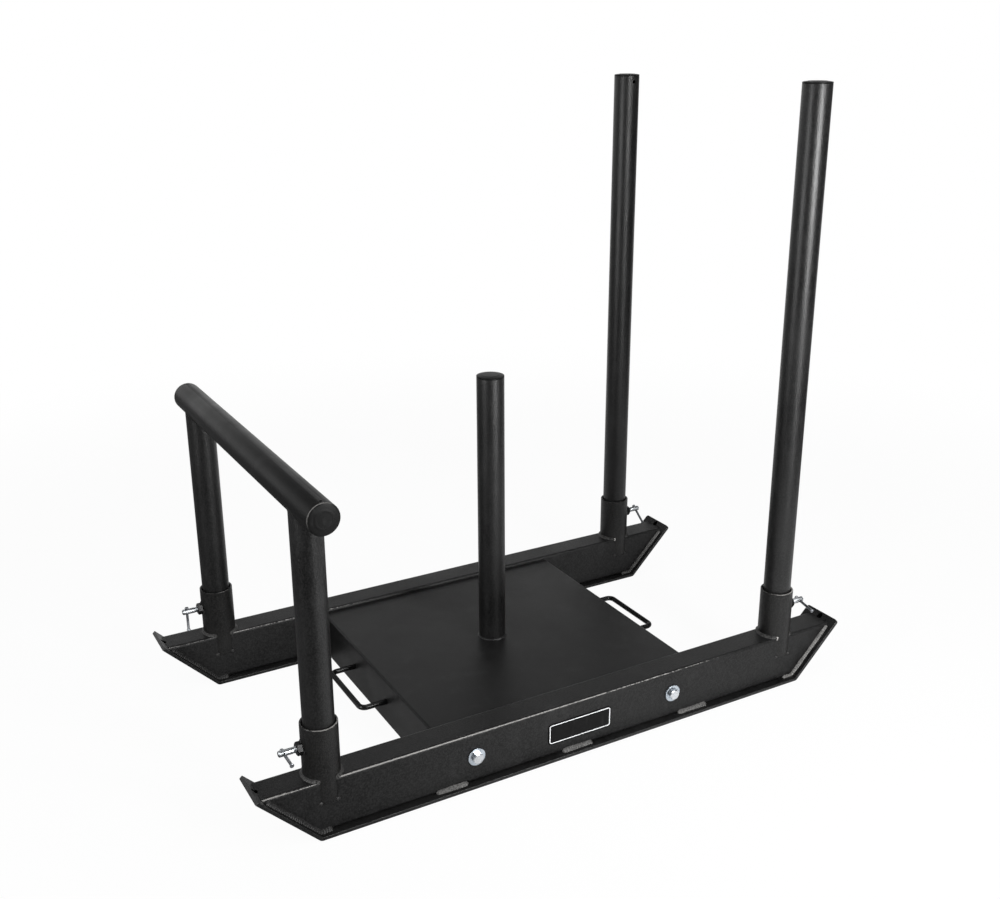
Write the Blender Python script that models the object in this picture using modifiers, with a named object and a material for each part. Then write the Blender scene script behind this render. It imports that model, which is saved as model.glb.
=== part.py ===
"""Weight sled: two skid runners joined by a folded tray, four sleeves with clamp screws, two tall posts,
a lift-out push handle and a short post for weight plates.

X runs along the runners, from the push handle to the tall posts. Y runs across, with the near runner at -Y.
Z is up, and the skid plates stand on z = 0.
"""

import math

import bmesh
import bpy
from mathutils import Matrix, Vector

# Sizes are in metres.
SEAT = 0.0003  # gap between pieces that touch or are welded on the real sled

TRACK = 0.517  # from the middle of one runner to the middle of the other
HANDLE_INSET = 0.102  # push handle's sleeves, from the end of the runner's top
TALL_INSET = 0.112  # tall posts' sleeves, from the other end

RUNNER_WIDTH = 0.052
RUNNER_HEIGHT = 0.0867
RUNNER_WALL = 0.003
RUNNER_CORNER = 0.005
RUNNER_TOP_LENGTH = 1.098
RUNNER_BOTTOM_LENGTH = 0.929

SKID_WIDTH = 0.077
SKID_THICKNESS = 0.006
SKID_BEND = 0.0025  # inside radius of the two bends
SKID_LIP = 0.0115  # how far the plate runs on past the tube's top corner, along the slope
SKID_TIP_CORNER = 0.005
END_HOLE_DIAMETER = 0.010
END_HOLE_OUTSET = 0.0017  # hole's middle past the end of the tube's top

POST_DIAMETER = 0.0483
POST_WALL = 0.0025
TALL_POST_TOP = 1.061
TALL_POST_HOLE_DIAMETER = 0.006
TALL_POST_HOLE_DROP = 0.015  # below the top of the cap

SLEEVE_PLAY = 0.00155  # round the post
SLEEVE_WALL = 0.0032
SLEEVE_BOTTOM = 0.055
SLEEVE_LENGTH = 0.1246

CLAMP_DROP = 0.0366  # screw's axis below the sleeve's rim
NUT_ACROSS_FLATS = 0.018
NUT_LENGTH = 0.0093
SCREW_DIAMETER = 0.010
SCREW_FREE_LENGTH = 0.026  # past the nut
SCREW_CHAMFER = 0.0012
SCREW_PLAY = 0.0003
BAR_DIAMETER = 0.0046
BAR_LENGTH = 0.046
BAR_HEAD_DIAMETER = 0.007
BAR_HEAD_LENGTH = 0.0032
BAR_INSET = 0.008  # bar's axis below the screw's outer end
# How far each bar's long side hangs below level, in degrees, with the long side towards -Y.
BAR_DROOP = {"handle_near": 0.0, "handle_far": 90.0, "tall_near": 12.0, "tall_far": 37.0}

CAP_EDGE = 0.002
CAP_DOME = 0.0025
CROSS_CAP_EDGE = 0.0005
CAP_PLUG_LENGTH = 0.006
CAP_WALL = 0.0015
CAP_PLUG_PLAY = 0.0003
CROSS_CAP_RIM = 0.0014  # tube end left showing round the push handle's caps

CROSS_TUBE_Z = 0.525
CROSS_TUBE_LENGTH = 0.660
CROSS_TUBE_HOLE_DIAMETER = 0.0035
CROSS_TUBE_HOLE_INSET = 0.007

TRAY_START_X = -0.253
TRAY_LENGTH = 0.499
TRAY_TOP = 0.087
TRAY_DEPTH = 0.081
TRAY_SHEET = 0.003
TRAY_BEND = 0.004

WEIGHT_POST_X = -0.012
WEIGHT_POST_TOP = 0.584

GRAB_DIAMETER = 0.0095
GRAB_SPACING = 0.1385
GRAB_Y = 0.0115
GRAB_Z = 0.047
GRAB_BEND = 0.011
GRAB_TAIL = 0.012  # inside the tray's flange
GRAB_REACH = {"handle": 0.0465, "tall": 0.0640}  # from the flange to the middle of the grip

BOLT_X = (-0.199, 0.187)
BOLT_Z = 0.051
BOLT_DIAMETER = 0.010
BOLT_PLAY = 0.0005
BOLT_HEAD_ACROSS_FLATS = 0.017
BOLT_HEAD_HEIGHT = 0.0064
BOLT_NUT_HEIGHT = 0.008
BOLT_TIP = 0.003  # past the nut
WASHER_DIAMETER = 0.030
INNER_WASHER_DIAMETER = 0.020
WASHER_THICKNESS = 0.002

BADGE_X = -0.0035
BADGE_Z = 0.046
BADGE_WIDTH = 0.123
BADGE_HEIGHT = 0.038
BADGE_THICKNESS = 0.001
BADGE_CORNER = 0.006

ROUND_SIDES = 36  # posts, sleeves and the cross tube
CAP_SIDES = 24
SMALL_SIDES = 16  # screws and their holes
BOLT_SIDES = 12
ARC_STEPS = 4  # in a quarter turn of an outline
SHARP_ANGLE = math.radians(35)

# Places that follow from the sizes above.
RUNNER_BOTTOM = SKID_THICKNESS + SEAT
RUNNER_TOP = RUNNER_BOTTOM + RUNNER_HEIGHT
SLEEVE_TOP = SLEEVE_BOTTOM + SLEEVE_LENGTH
SLEEVE_BORE_RADIUS = POST_DIAMETER / 2 + SLEEVE_PLAY
SLEEVE_RADIUS = SLEEVE_BORE_RADIUS + SLEEVE_WALL
CLAMP_Z = SLEEVE_TOP - CLAMP_DROP
NUT_START = SLEEVE_RADIUS + SEAT  # along the clamp's axis, from the sleeve's axis
SCREW_START = POST_DIAMETER / 2 + SEAT
SCREW_END = NUT_START + NUT_LENGTH + SCREW_FREE_LENGTH
POST_BOTTOM = SLEEVE_BOTTOM
CAP_HEIGHT = CAP_EDGE + CAP_DOME
HANDLE_X = HANDLE_INSET - RUNNER_TOP_LENGTH / 2
TALL_X = RUNNER_TOP_LENGTH / 2 - TALL_INSET
FLANGE_Y = TRACK / 2 - RUNNER_WIDTH / 2 - SEAT  # outside of the tray's long flanges
TRAY_MIDDLE_X = TRAY_START_X + TRAY_LENGTH / 2
SIDES = {"near": -1, "far": 1}
ENDS = {"handle": (HANDLE_X, -1), "tall": (TALL_X, 1)}


def material(name, colour, metallic, roughness):
    made = bpy.data.materials.new(name)
    made.use_nodes = True
    shader = made.node_tree.nodes["Principled BSDF"]
    shader.inputs["Base Color"].default_value = (*colour, 1.0)
    shader.inputs["Metallic"].default_value = metallic
    shader.inputs["Roughness"].default_value = roughness
    return made


def collection(name):
    made = bpy.data.collections.new(name)
    bpy.context.scene.collection.children.link(made)
    return made


def add_object(name, data, into, paint=None):
    """Link a mesh or curve as a new object. A piece gets its material, and a cutter is a wire that isn't rendered."""
    made = bpy.data.objects.new(name, data)
    into.objects.link(made)
    if paint:
        data.materials.append(paint)
    else:
        made.hide_render = True
        made.display_type = "WIRE"
    return made


def axes_matrix(origin, z_axis, x_axis):
    """A placement whose local Z and X point along the two given square directions."""
    z = Vector(z_axis).normalized()
    x = Vector(x_axis).normalized()
    turn = Matrix((x, z.cross(x), z)).transposed()
    return Matrix.Translation(origin) @ turn.to_4x4()


def turned(name, profile, sides, into, paint, closed=False):
    """Turn a profile of (radius, height) points, which runs down its outer side, about Z."""
    mesh = bpy.data.meshes.new(name)
    edges = [(i, i + 1) for i in range(len(profile) - 1)]
    if closed:
        edges.append((len(profile) - 1, 0))
    mesh.from_pydata([(radius, 0, height) for radius, height in profile], edges, [])
    made = add_object(name, mesh, into, paint)
    screw = made.modifiers.new("Turn", "SCREW")
    screw.steps = screw.render_steps = sides
    screw.use_merge_vertices = True
    screw.merge_threshold = 1e-5
    return made


def turned_tube(name, outer, inner, bottom, top, sides, into, paint):
    profile = [(outer, top), (outer, bottom), (inner, bottom), (inner, top)]
    return turned(name, profile, sides, into, paint, closed=True)


def prism(name, radius, start, end, sides, into, paint=None):
    """A prism or cylinder along Z, from start to end."""
    shape = bmesh.new()
    bmesh.ops.create_cone(shape, cap_ends=True, segments=sides, radius1=radius, radius2=radius, depth=end - start)
    bmesh.ops.translate(shape, verts=shape.verts, vec=(0, 0, (start + end) / 2))
    mesh = bpy.data.meshes.new(name)
    shape.to_mesh(mesh)
    shape.free()
    return add_object(name, mesh, into, paint)


def boolean(target, other, operation="DIFFERENCE"):
    step = target.modifiers.new(other.name, "BOOLEAN")
    step.operation = operation
    step.object = other


def arc(middle, radius, start, end, steps):
    """Points on an arc, with angles in degrees."""
    angles = [math.radians(start + (end - start) * i / steps) for i in range(steps + 1)]
    return [(middle[0] + radius * math.cos(a), middle[1] + radius * math.sin(a)) for a in angles]


def rounded_rectangle(width, height, corner):
    x = width / 2 - corner
    y = height / 2 - corner
    middles = [(x, y), (-x, y), (-x, -y), (x, -y)]
    return [p for i, m in enumerate(middles) for p in arc(m, corner, 90 * i, 90 * i + 90, ARC_STEPS)]


def extruded(name, outlines, thickness, into, paint):
    """A flat plate or a tube, from closed outlines in local XY, as a mesh."""
    curve = bpy.data.curves.new(name, "CURVE")
    curve.dimensions = "2D"
    curve.fill_mode = "BOTH"
    curve.extrude = thickness / 2
    for outline in outlines:
        spline = curve.splines.new("POLY")
        spline.points.add(len(outline) - 1)
        for point, (x, y) in zip(spline.points, outline):
            point.co = (x, y, 0, 1)
        spline.use_cyclic_u = True
    return curve_to_mesh(name, curve, into, paint)


def curve_to_mesh(name, curve, into, paint):
    guide = bpy.data.objects.new(name + "_curve", curve)
    into.objects.link(guide)
    graph = bpy.context.evaluated_depsgraph_get()
    mesh = bpy.data.meshes.new_from_object(guide.evaluated_get(graph))
    bpy.data.objects.remove(guide)
    shape = bmesh.new()
    shape.from_mesh(mesh)
    bmesh.ops.remove_doubles(shape, verts=shape.verts, dist=1e-6)
    bmesh.ops.recalc_face_normals(shape, faces=shape.faces)
    shape.to_mesh(mesh)
    shape.free()
    mesh.name = name
    return add_object(name, mesh, into, paint)


def settle(piece):
    """Replace the piece's modifiers by what they make, and shade it smooth between its sharp edges."""
    graph = bpy.context.evaluated_depsgraph_get()
    mesh = bpy.data.meshes.new_from_object(piece.evaluated_get(graph))
    piece.modifiers.clear()
    piece.data = mesh
    mesh.shade_smooth()
    mesh.set_sharp_from_angle(angle=SHARP_ANGLE)


def make_runner(side, parts, cutters, paint):
    """Rectangular tube with mitred ends, notched for the two sleeves and drilled for the tray's bolts."""
    y = SIDES[side] * TRACK / 2
    outside = rounded_rectangle(RUNNER_WIDTH, RUNNER_HEIGHT, RUNNER_CORNER)
    inside = rounded_rectangle(
        RUNNER_WIDTH - 2 * RUNNER_WALL, RUNNER_HEIGHT - 2 * RUNNER_WALL, RUNNER_CORNER - RUNNER_WALL
    )
    tube = extruded("runner_tube_" + side, [outside, inside], RUNNER_TOP_LENGTH, parts, paint)
    mitre = (RUNNER_TOP_LENGTH - RUNNER_BOTTOM_LENGTH) / 2
    for vertex in tube.data.vertices:
        share_down = 0.5 - vertex.co.y / RUNNER_HEIGHT
        vertex.co.z -= math.copysign(mitre * share_down, vertex.co.z)
    tube.matrix_world = axes_matrix((0, y, RUNNER_BOTTOM + RUNNER_HEIGHT / 2), (1, 0, 0), (0, 1, 0))
    for end, (x, _) in ENDS.items():
        notch = prism(f"notch_{end}_{side}", SLEEVE_RADIUS + SEAT, 0, SLEEVE_LENGTH, ROUND_SIDES, cutters)
        notch.location = (x, y, SLEEVE_BOTTOM - SEAT)
        boolean(tube, notch)
    for number, x in enumerate(BOLT_X, 1):
        hole = prism(
            f"runner_bolt_hole_{side}_{number}",
            BOLT_DIAMETER / 2 + BOLT_PLAY,
            -RUNNER_WIDTH,
            RUNNER_WIDTH,
            BOLT_SIDES,
            cutters,
        )
        hole.matrix_world = axes_matrix((x, y, BOLT_Z), (0, 1, 0), (1, 0, 0))
        boolean(tube, hole)
    return tube


def skid_outline():
    """Side view of the bent plate, which follows the tube's bottom and its mitred ends at the seat gap."""
    mitre = (RUNNER_TOP_LENGTH - RUNNER_BOTTOM_LENGTH) / 2
    slope = math.atan2(RUNNER_HEIGHT, mitre)
    along = Vector((math.cos(slope), math.sin(slope)))
    outward = Vector((math.sin(slope), -math.cos(slope)))
    inner_corner = Vector((RUNNER_BOTTOM_LENGTH / 2 + SEAT * math.tan(slope / 2), SKID_THICKNESS))
    middle = inner_corner + Vector((-SKID_BEND * math.tan(slope / 2), SKID_BEND))
    tube_corner = Vector((RUNNER_TOP_LENGTH / 2, RUNNER_TOP))
    inner_tip = tube_corner + outward * SEAT + along * SKID_LIP
    outer_tip = inner_tip + outward * SKID_THICKNESS
    turn = (-90, -90 + math.degrees(slope))
    outer = arc(middle, SKID_BEND + SKID_THICKNESS, *turn, ARC_STEPS)
    inner = arc(middle, SKID_BEND, turn[1], turn[0], ARC_STEPS)
    half = [*outer, tuple(outer_tip), tuple(inner_tip), *inner]
    return half + [(-x, z) for x, z in reversed(half)]


def make_skid(side, parts, cutters, paint):
    plate = extruded("skid_plate_" + side, [skid_outline()], SKID_WIDTH, parts, paint)
    shape = bmesh.new()
    shape.from_mesh(plate.data)
    tips = [
        edge
        for edge in shape.edges
        if min(abs(v.co.x) for v in edge.verts) > RUNNER_TOP_LENGTH / 2
        and abs(edge.verts[0].co.z - edge.verts[1].co.z) < SKID_WIDTH / 2
        and edge.calc_length() < 1.01 * SKID_THICKNESS
    ]
    bmesh.ops.bevel(shape, geom=tips, offset=SKID_TIP_CORNER, segments=ARC_STEPS, profile=0.5, affect="EDGES")
    shape.to_mesh(plate.data)
    shape.free()
    plate.matrix_world = axes_matrix((0, SIDES[side] * TRACK / 2, 0), (0, -1, 0), (1, 0, 0))
    return plate


def drill_ends(side, tube, plate, cutters):
    """One upright hole at each end, through the plate's lip and into the end of the tube's top."""
    for end, (_, outward) in ENDS.items():
        hole = prism(
            f"end_hole_{end}_{side}",
            END_HOLE_DIAMETER / 2,
            RUNNER_TOP - 4 * RUNNER_WALL,
            RUNNER_TOP + SKID_LIP + SKID_THICKNESS,
            SMALL_SIDES,
            cutters,
        )
        hole.location = (outward * (RUNNER_TOP_LENGTH / 2 + END_HOLE_OUTSET), SIDES[side] * TRACK / 2, 0)
        boolean(tube, hole)
        boolean(plate, hole)


def make_sleeve(end, side, parts, cutters, paint):
    """Round sleeve let into the runner, with a hole for the clamp screw."""
    x, outward = ENDS[end]
    y = SIDES[side] * TRACK / 2
    sleeve = turned_tube(
        f"sleeve_{end}_{side}",
        SLEEVE_RADIUS,
        SLEEVE_BORE_RADIUS,
        SLEEVE_BOTTOM,
        SLEEVE_TOP,
        ROUND_SIDES,
        parts,
        paint,
    )
    sleeve.location = (x, y, 0)
    hole = prism(
        f"sleeve_screw_hole_{end}_{side}",
        SCREW_DIAMETER / 2 + SCREW_PLAY,
        0,
        SLEEVE_RADIUS + SLEEVE_WALL,
        SMALL_SIDES,
        cutters,
    )
    hole.matrix_world = axes_matrix((x, y, CLAMP_Z), (outward, 0, 0), (0, 1, 0))
    boolean(sleeve, hole)


def make_clamp(end, side, parts, cutters, nut_paint, zinc):
    """Nut on the sleeve, screw through it, and the bar that slides through the screw's outer end."""
    x, outward = ENDS[end]
    where = Vector((x, SIDES[side] * TRACK / 2, CLAMP_Z))
    name = f"{end}_{side}"
    nut = prism(
        "clamp_nut_" + name,
        NUT_ACROSS_FLATS / 2 / math.cos(math.radians(30)),
        NUT_START,
        NUT_START + NUT_LENGTH,
        6,
        parts,
        nut_paint,
    )
    nut.matrix_world = axes_matrix(where, (outward, 0, 0), (0, 1, 0))
    bore = prism(
        "clamp_nut_bore_" + name,
        SCREW_DIAMETER / 2 + SCREW_PLAY,
        NUT_START - NUT_LENGTH,
        NUT_START + 2 * NUT_LENGTH,
        SMALL_SIDES,
        cutters,
    )
    bore.matrix_world = nut.matrix_world
    boolean(nut, bore)

    radius = SCREW_DIAMETER / 2
    screw = turned(
        "clamp_screw_" + name,
        [
            (0, SCREW_END),
            (radius - SCREW_CHAMFER, SCREW_END),
            (radius, SCREW_END - SCREW_CHAMFER),
            (radius, SCREW_START + SCREW_CHAMFER),
            (radius - SCREW_CHAMFER, SCREW_START),
            (0, SCREW_START),
        ],
        SMALL_SIDES,
        parts,
        zinc,
    )
    droop = math.radians(BAR_DROOP[name])
    long_side = (0, -math.cos(droop), -math.sin(droop))
    screw.matrix_world = axes_matrix(where, (outward, 0, 0), long_side)
    cross_hole = prism(
        "clamp_screw_cross_hole_" + name,
        BAR_DIAMETER / 2 + SCREW_PLAY,
        -SCREW_DIAMETER,
        SCREW_DIAMETER,
        BOLT_SIDES,
        cutters,
    )
    bar = make_tommy_bar(name, parts, zinc)
    for piece in (cross_hole, bar):
        piece.parent = screw
        piece.location = (0, 0, SCREW_END - BAR_INSET)
        piece.rotation_euler = (0, math.radians(90), 0)
    boolean(screw, cross_hole)


def make_tommy_bar(name, parts, zinc):
    """Bar with a head at each end, slid along until the short side's head meets the screw."""
    radius = BAR_DIAMETER / 2
    head = BAR_HEAD_DIAMETER / 2
    short_end = -(SCREW_DIAMETER / 2 + SEAT + BAR_HEAD_LENGTH)
    long_end = short_end + BAR_LENGTH
    crown = BAR_HEAD_LENGTH / 4
    profile = [
        (0, long_end),
        (head * 0.75, long_end),
        (head, long_end - crown),
        (head, long_end - BAR_HEAD_LENGTH + crown),
        (radius, long_end - BAR_HEAD_LENGTH),
        (radius, short_end + BAR_HEAD_LENGTH),
        (head, short_end + BAR_HEAD_LENGTH - crown),
        (head, short_end + crown),
        (head * 0.75, short_end),
        (0, short_end),
    ]
    return turned("tommy_bar_" + name, profile, BOLT_SIDES, parts, zinc)


def make_cap(name, head_radius, edge, parts, plastic):
    """Domed plastic cap with a hollow plug. Local Z points out of the tube, and z = 0 is the tube's end."""
    plug = POST_DIAMETER / 2 - POST_WALL - CAP_PLUG_PLAY
    dome = [
        (head_radius * math.sin(math.radians(a)), SEAT + edge + CAP_DOME * math.cos(math.radians(a)))
        for a in range(0, 91, 30)
    ]
    profile = dome + [
        (head_radius, SEAT),
        (plug, SEAT),
        (plug, -CAP_PLUG_LENGTH),
        (plug - CAP_WALL, -CAP_PLUG_LENGTH),
        (plug - CAP_WALL, SEAT),
        (0, SEAT),
    ]
    return turned(name, profile, CAP_SIDES, parts, plastic)


def make_tall_post(side, parts, cutters, paint, plastic):
    """Tall post with its cap and the small hole on its inner side."""
    inward = -SIDES[side]
    where = (TALL_X, SIDES[side] * TRACK / 2, 0)
    end = TALL_POST_TOP - CAP_HEIGHT - SEAT
    radius = POST_DIAMETER / 2
    post = turned_tube(
        "tall_post_" + side, radius, radius - POST_WALL, POST_BOTTOM, end, ROUND_SIDES, parts, paint
    )
    post.location = where
    hole = prism(
        "tall_post_hole_" + side, TALL_POST_HOLE_DIAMETER / 2, 0, POST_DIAMETER, BOLT_SIDES, cutters
    )
    hole.matrix_world = axes_matrix(
        (where[0], where[1], TALL_POST_TOP - TALL_POST_HOLE_DROP), (0, inward, 0), (1, 0, 0)
    )
    boolean(post, hole)
    cap = make_cap("tall_post_cap_" + side, radius, CAP_EDGE, parts, plastic)
    cap.parent = post
    cap.location = (0, 0, end)


def make_push_handle(parts, cutters, paint, plastic):
    """Cross tube on two uprights whose tops are coped to it, with a cap in each end."""
    radius = POST_DIAMETER / 2
    middle = (HANDLE_X, 0, CROSS_TUBE_Z)
    lying = axes_matrix(middle, (0, 1, 0), (1, 0, 0))
    half = CROSS_TUBE_LENGTH / 2
    handle = bpy.data.objects.new("push_handle_axis", None)
    parts.objects.link(handle)
    handle.location = (HANDLE_X, 0, 0)
    cross = turned_tube("cross_tube", radius, radius - POST_WALL, -half, half, ROUND_SIDES, parts, paint)
    cross.matrix_world = lying
    cope = prism("cope", radius + SEAT, -half, half, ROUND_SIDES, cutters)
    cope.matrix_world = lying
    pieces = [cross]
    for side, sign in SIDES.items():
        upright = turned_tube(
            "handle_upright_" + side,
            radius,
            radius - POST_WALL,
            POST_BOTTOM,
            CROSS_TUBE_Z - radius / 4,
            ROUND_SIDES,
            parts,
            paint,
        )
        upright.location = (HANDLE_X, sign * TRACK / 2, 0)
        boolean(upright, cope)
        cap = make_cap("cross_tube_cap_" + side, radius - CROSS_CAP_RIM, CROSS_CAP_EDGE, parts, plastic)
        cap.matrix_world = axes_matrix((HANDLE_X, sign * half, CROSS_TUBE_Z), (0, sign, 0), (1, 0, 0))
        hole = prism(
            "cross_tube_hole_" + side, CROSS_TUBE_HOLE_DIAMETER / 2, 0, POST_DIAMETER, BOLT_SIDES, cutters
        )
        hole.location = (HANDLE_X, sign * (half - CROSS_TUBE_HOLE_INSET), CROSS_TUBE_Z)
        boolean(cross, hole)
        pieces += [upright, cap]
    for piece in pieces:
        piece.parent = handle
        piece.matrix_parent_inverse = Matrix.Translation(-handle.location)


def make_tray(parts, cutters, paint):
    """Sheet folded down on all four sides, with holes for the bolts, the grab handles and the weight post."""
    shape = bmesh.new()
    size = (TRAY_LENGTH, 2 * FLANGE_Y, TRAY_DEPTH)
    middle = (TRAY_MIDDLE_X, 0, TRAY_TOP - TRAY_DEPTH / 2)
    box = Matrix.Translation(middle) @ Matrix.Diagonal((*size, 1))
    bmesh.ops.create_cube(shape, size=1, matrix=box)
    floor = [face for face in shape.faces if face.normal.z < -0.5]
    bmesh.ops.delete(shape, geom=floor, context="FACES_ONLY")
    folds = [edge for edge in shape.edges if not edge.is_boundary]
    bmesh.ops.bevel(shape, geom=folds, offset=TRAY_BEND, segments=3, profile=0.5, affect="EDGES")
    mesh = bpy.data.meshes.new("weight_tray")
    shape.to_mesh(mesh)
    shape.free()
    tray = add_object("weight_tray", mesh, parts, paint)
    sheet = tray.modifiers.new("Sheet", "SOLIDIFY")
    sheet.thickness = TRAY_SHEET
    sheet.offset = -1
    sheet.use_even_offset = True
    for number, x in enumerate(BOLT_X, 1):
        hole = prism(
            f"tray_bolt_hole_{number}", BOLT_DIAMETER / 2 + BOLT_PLAY, -TRACK, TRACK, BOLT_SIDES, cutters
        )
        hole.matrix_world = axes_matrix((x, 0, BOLT_Z), (0, 1, 0), (1, 0, 0))
        boolean(tray, hole)
    for side, sign in SIDES.items():
        hole = prism(
            f"tray_leg_hole_{side}", GRAB_DIAMETER / 2 + SEAT, -TRAY_LENGTH, TRAY_LENGTH, SMALL_SIDES, cutters
        )
        y = GRAB_Y + sign * GRAB_SPACING / 2
        hole.matrix_world = axes_matrix((TRAY_MIDDLE_X, y, GRAB_Z), (1, 0, 0), (0, 1, 0))
        boolean(tray, hole)
    post_hole = prism(
        "tray_post_hole",
        POST_DIAMETER / 2 + SEAT,
        TRAY_TOP - 2 * TRAY_SHEET,
        TRAY_TOP + TRAY_SHEET,
        ROUND_SIDES,
        cutters,
    )
    post_hole.location = (WEIGHT_POST_X, 0, 0)
    boolean(tray, post_hole)


def make_weight_post(parts, paint, plastic):
    """Post let into the tray's sheet, with its cap."""
    radius = POST_DIAMETER / 2
    bottom = TRAY_TOP - TRAY_SHEET
    end = WEIGHT_POST_TOP - CAP_HEIGHT - SEAT
    post = turned_tube(
        "weight_post", radius, radius - POST_WALL, bottom, end, ROUND_SIDES, parts, paint
    )
    post.location = (WEIGHT_POST_X, 0, 0)
    cap = make_cap("weight_post_cap", radius, CAP_EDGE, parts, plastic)
    cap.parent = post
    cap.location = (0, 0, end)


def make_grab_handle(end, parts, paint):
    """Bent rod whose two legs go through the tray's end flange."""
    outward = ENDS[end][1]
    flange = TRAY_START_X if outward < 0 else TRAY_START_X + TRAY_LENGTH
    reach = GRAB_REACH[end]
    half = GRAB_SPACING / 2
    near = arc((reach - GRAB_BEND, -half + GRAB_BEND), GRAB_BEND, -90, 0, 2 * ARC_STEPS)
    far = arc((reach - GRAB_BEND, half - GRAB_BEND), GRAB_BEND, 0, 90, 2 * ARC_STEPS)
    start = -(TRAY_SHEET + GRAB_TAIL)
    route = [(start, -half), *near, *far, (start, half)]
    curve = bpy.data.curves.new("grab_handle_" + end, "CURVE")
    curve.dimensions = "3D"
    curve.bevel_depth = GRAB_DIAMETER / 2
    curve.bevel_resolution = 4
    curve.use_fill_caps = True
    spline = curve.splines.new("POLY")
    spline.points.add(len(route) - 1)
    for point, (out, y) in zip(spline.points, route):
        point.co = (outward * out, y, 0, 1)
    handle = curve_to_mesh("grab_handle_" + end, curve, parts, paint)
    handle.location = (flange, GRAB_Y, GRAB_Z)


def make_bolt(number, side, x, parts, cutters, zinc):
    """Bolt from the runner's outside, with a wide washer under its head and a washer and nut inside the tray."""
    sign = SIDES[side]
    name = f"{side}_{number}"
    outer_face = RUNNER_WIDTH / 2  # stations along the bolt's axis, from the middle of the runner
    head_seat = outer_face + SEAT + WASHER_THICKNESS + SEAT
    inner_face = -outer_face - SEAT - TRAY_SHEET
    nut_seat = inner_face - SEAT - WASHER_THICKNESS - SEAT
    across = math.cos(math.radians(30))
    place = axes_matrix((x, sign * TRACK / 2, BOLT_Z), (0, sign, 0), (1, 0, 0))
    bolt = prism(
        "tray_bolt_" + name,
        BOLT_HEAD_ACROSS_FLATS / 2 / across,
        head_seat,
        head_seat + BOLT_HEAD_HEIGHT,
        6,
        parts,
        zinc,
    )
    shank = prism(
        "tray_bolt_shank_" + name,
        BOLT_DIAMETER / 2,
        nut_seat - BOLT_NUT_HEIGHT - BOLT_TIP,
        head_seat + BOLT_HEAD_HEIGHT / 2,
        BOLT_SIDES,
        cutters,
    )
    boolean(bolt, shank, "UNION")
    bore = BOLT_DIAMETER / 2 + BOLT_PLAY
    outer_washer = turned_tube(
        "outer_washer_" + name,
        WASHER_DIAMETER / 2,
        bore,
        outer_face + SEAT,
        outer_face + SEAT + WASHER_THICKNESS,
        2 * BOLT_SIDES,
        parts,
        zinc,
    )
    inner_washer = turned_tube(
        "inner_washer_" + name,
        INNER_WASHER_DIAMETER / 2,
        bore,
        inner_face - SEAT - WASHER_THICKNESS,
        inner_face - SEAT,
        2 * BOLT_SIDES,
        parts,
        zinc,
    )
    nut = prism(
        "tray_nut_" + name,
        BOLT_HEAD_ACROSS_FLATS / 2 / across,
        nut_seat - BOLT_NUT_HEIGHT,
        nut_seat,
        6,
        parts,
        zinc,
    )
    nut_bore = prism(
        "tray_nut_bore_" + name, bore, nut_seat - 2 * BOLT_NUT_HEIGHT, nut_seat + BOLT_NUT_HEIGHT, BOLT_SIDES, cutters
    )
    boolean(nut, nut_bore)
    for piece in (bolt, shank, outer_washer, inner_washer, nut, nut_bore):
        piece.matrix_world = place


def make_badge(parts, paint):
    """Small bare plate on the near runner's outer face."""
    outline = rounded_rectangle(BADGE_WIDTH, BADGE_HEIGHT, BADGE_CORNER)
    plate = extruded("badge_plate", [outline], BADGE_THICKNESS, parts, paint)
    y = -(TRACK / 2 + RUNNER_WIDTH / 2 + SEAT + BADGE_THICKNESS / 2)
    plate.matrix_world = axes_matrix((BADGE_X, y, BADGE_Z), (0, -1, 0), (1, 0, 0))


def main():
    for old in list(bpy.data.objects):
        bpy.data.objects.remove(old)
    parts = collection("weight_sled")
    cutters = collection("cutters")
    powder = material("black_powder_coat", (0.028, 0.028, 0.028), 0.0, 0.5)
    gloss = material("black_gloss_paint", (0.02, 0.02, 0.02), 0.0, 0.3)
    plastic = material("black_plastic", (0.03, 0.03, 0.03), 0.0, 0.45)
    zinc = material("bright_zinc", (0.72, 0.74, 0.77), 1.0, 0.3)
    plate = material("badge_plate_black", (0.02, 0.02, 0.02), 0.0, 0.4)

    for side in SIDES:
        tube = make_runner(side, parts, cutters, powder)
        skid = make_skid(side, parts, cutters, powder)
        drill_ends(side, tube, skid, cutters)
        for end in ENDS:
            make_sleeve(end, side, parts, cutters, powder)
            make_clamp(end, side, parts, cutters, gloss, zinc)
        make_tall_post(side, parts, cutters, powder, plastic)
        for number, x in enumerate(BOLT_X, 1):
            make_bolt(number, side, x, parts, cutters, zinc)
    make_push_handle(parts, cutters, powder, plastic)
    make_tray(parts, cutters, powder)
    make_weight_post(parts, powder, plastic)
    for end in ENDS:
        make_grab_handle(end, parts, gloss)
    make_badge(parts, plate)
    for piece in parts.objects:
        if piece.type == "MESH":
            settle(piece)


main()
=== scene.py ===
# %% [markdown]
# # A weight sled
# The imported model gives every part of the sled its place and its joint. This script keeps that frame and
# dresses it: each part is worked out again with numpy as a finer surface, and gets a painted, plated or
# moulded finish. X runs along the runners, Y across them, Z is up, and the near runner is at -Y.

# %% Load the fixed model
import math

import bmesh
import bpy
import numpy as np
from mathutils import Matrix, Vector


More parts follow.
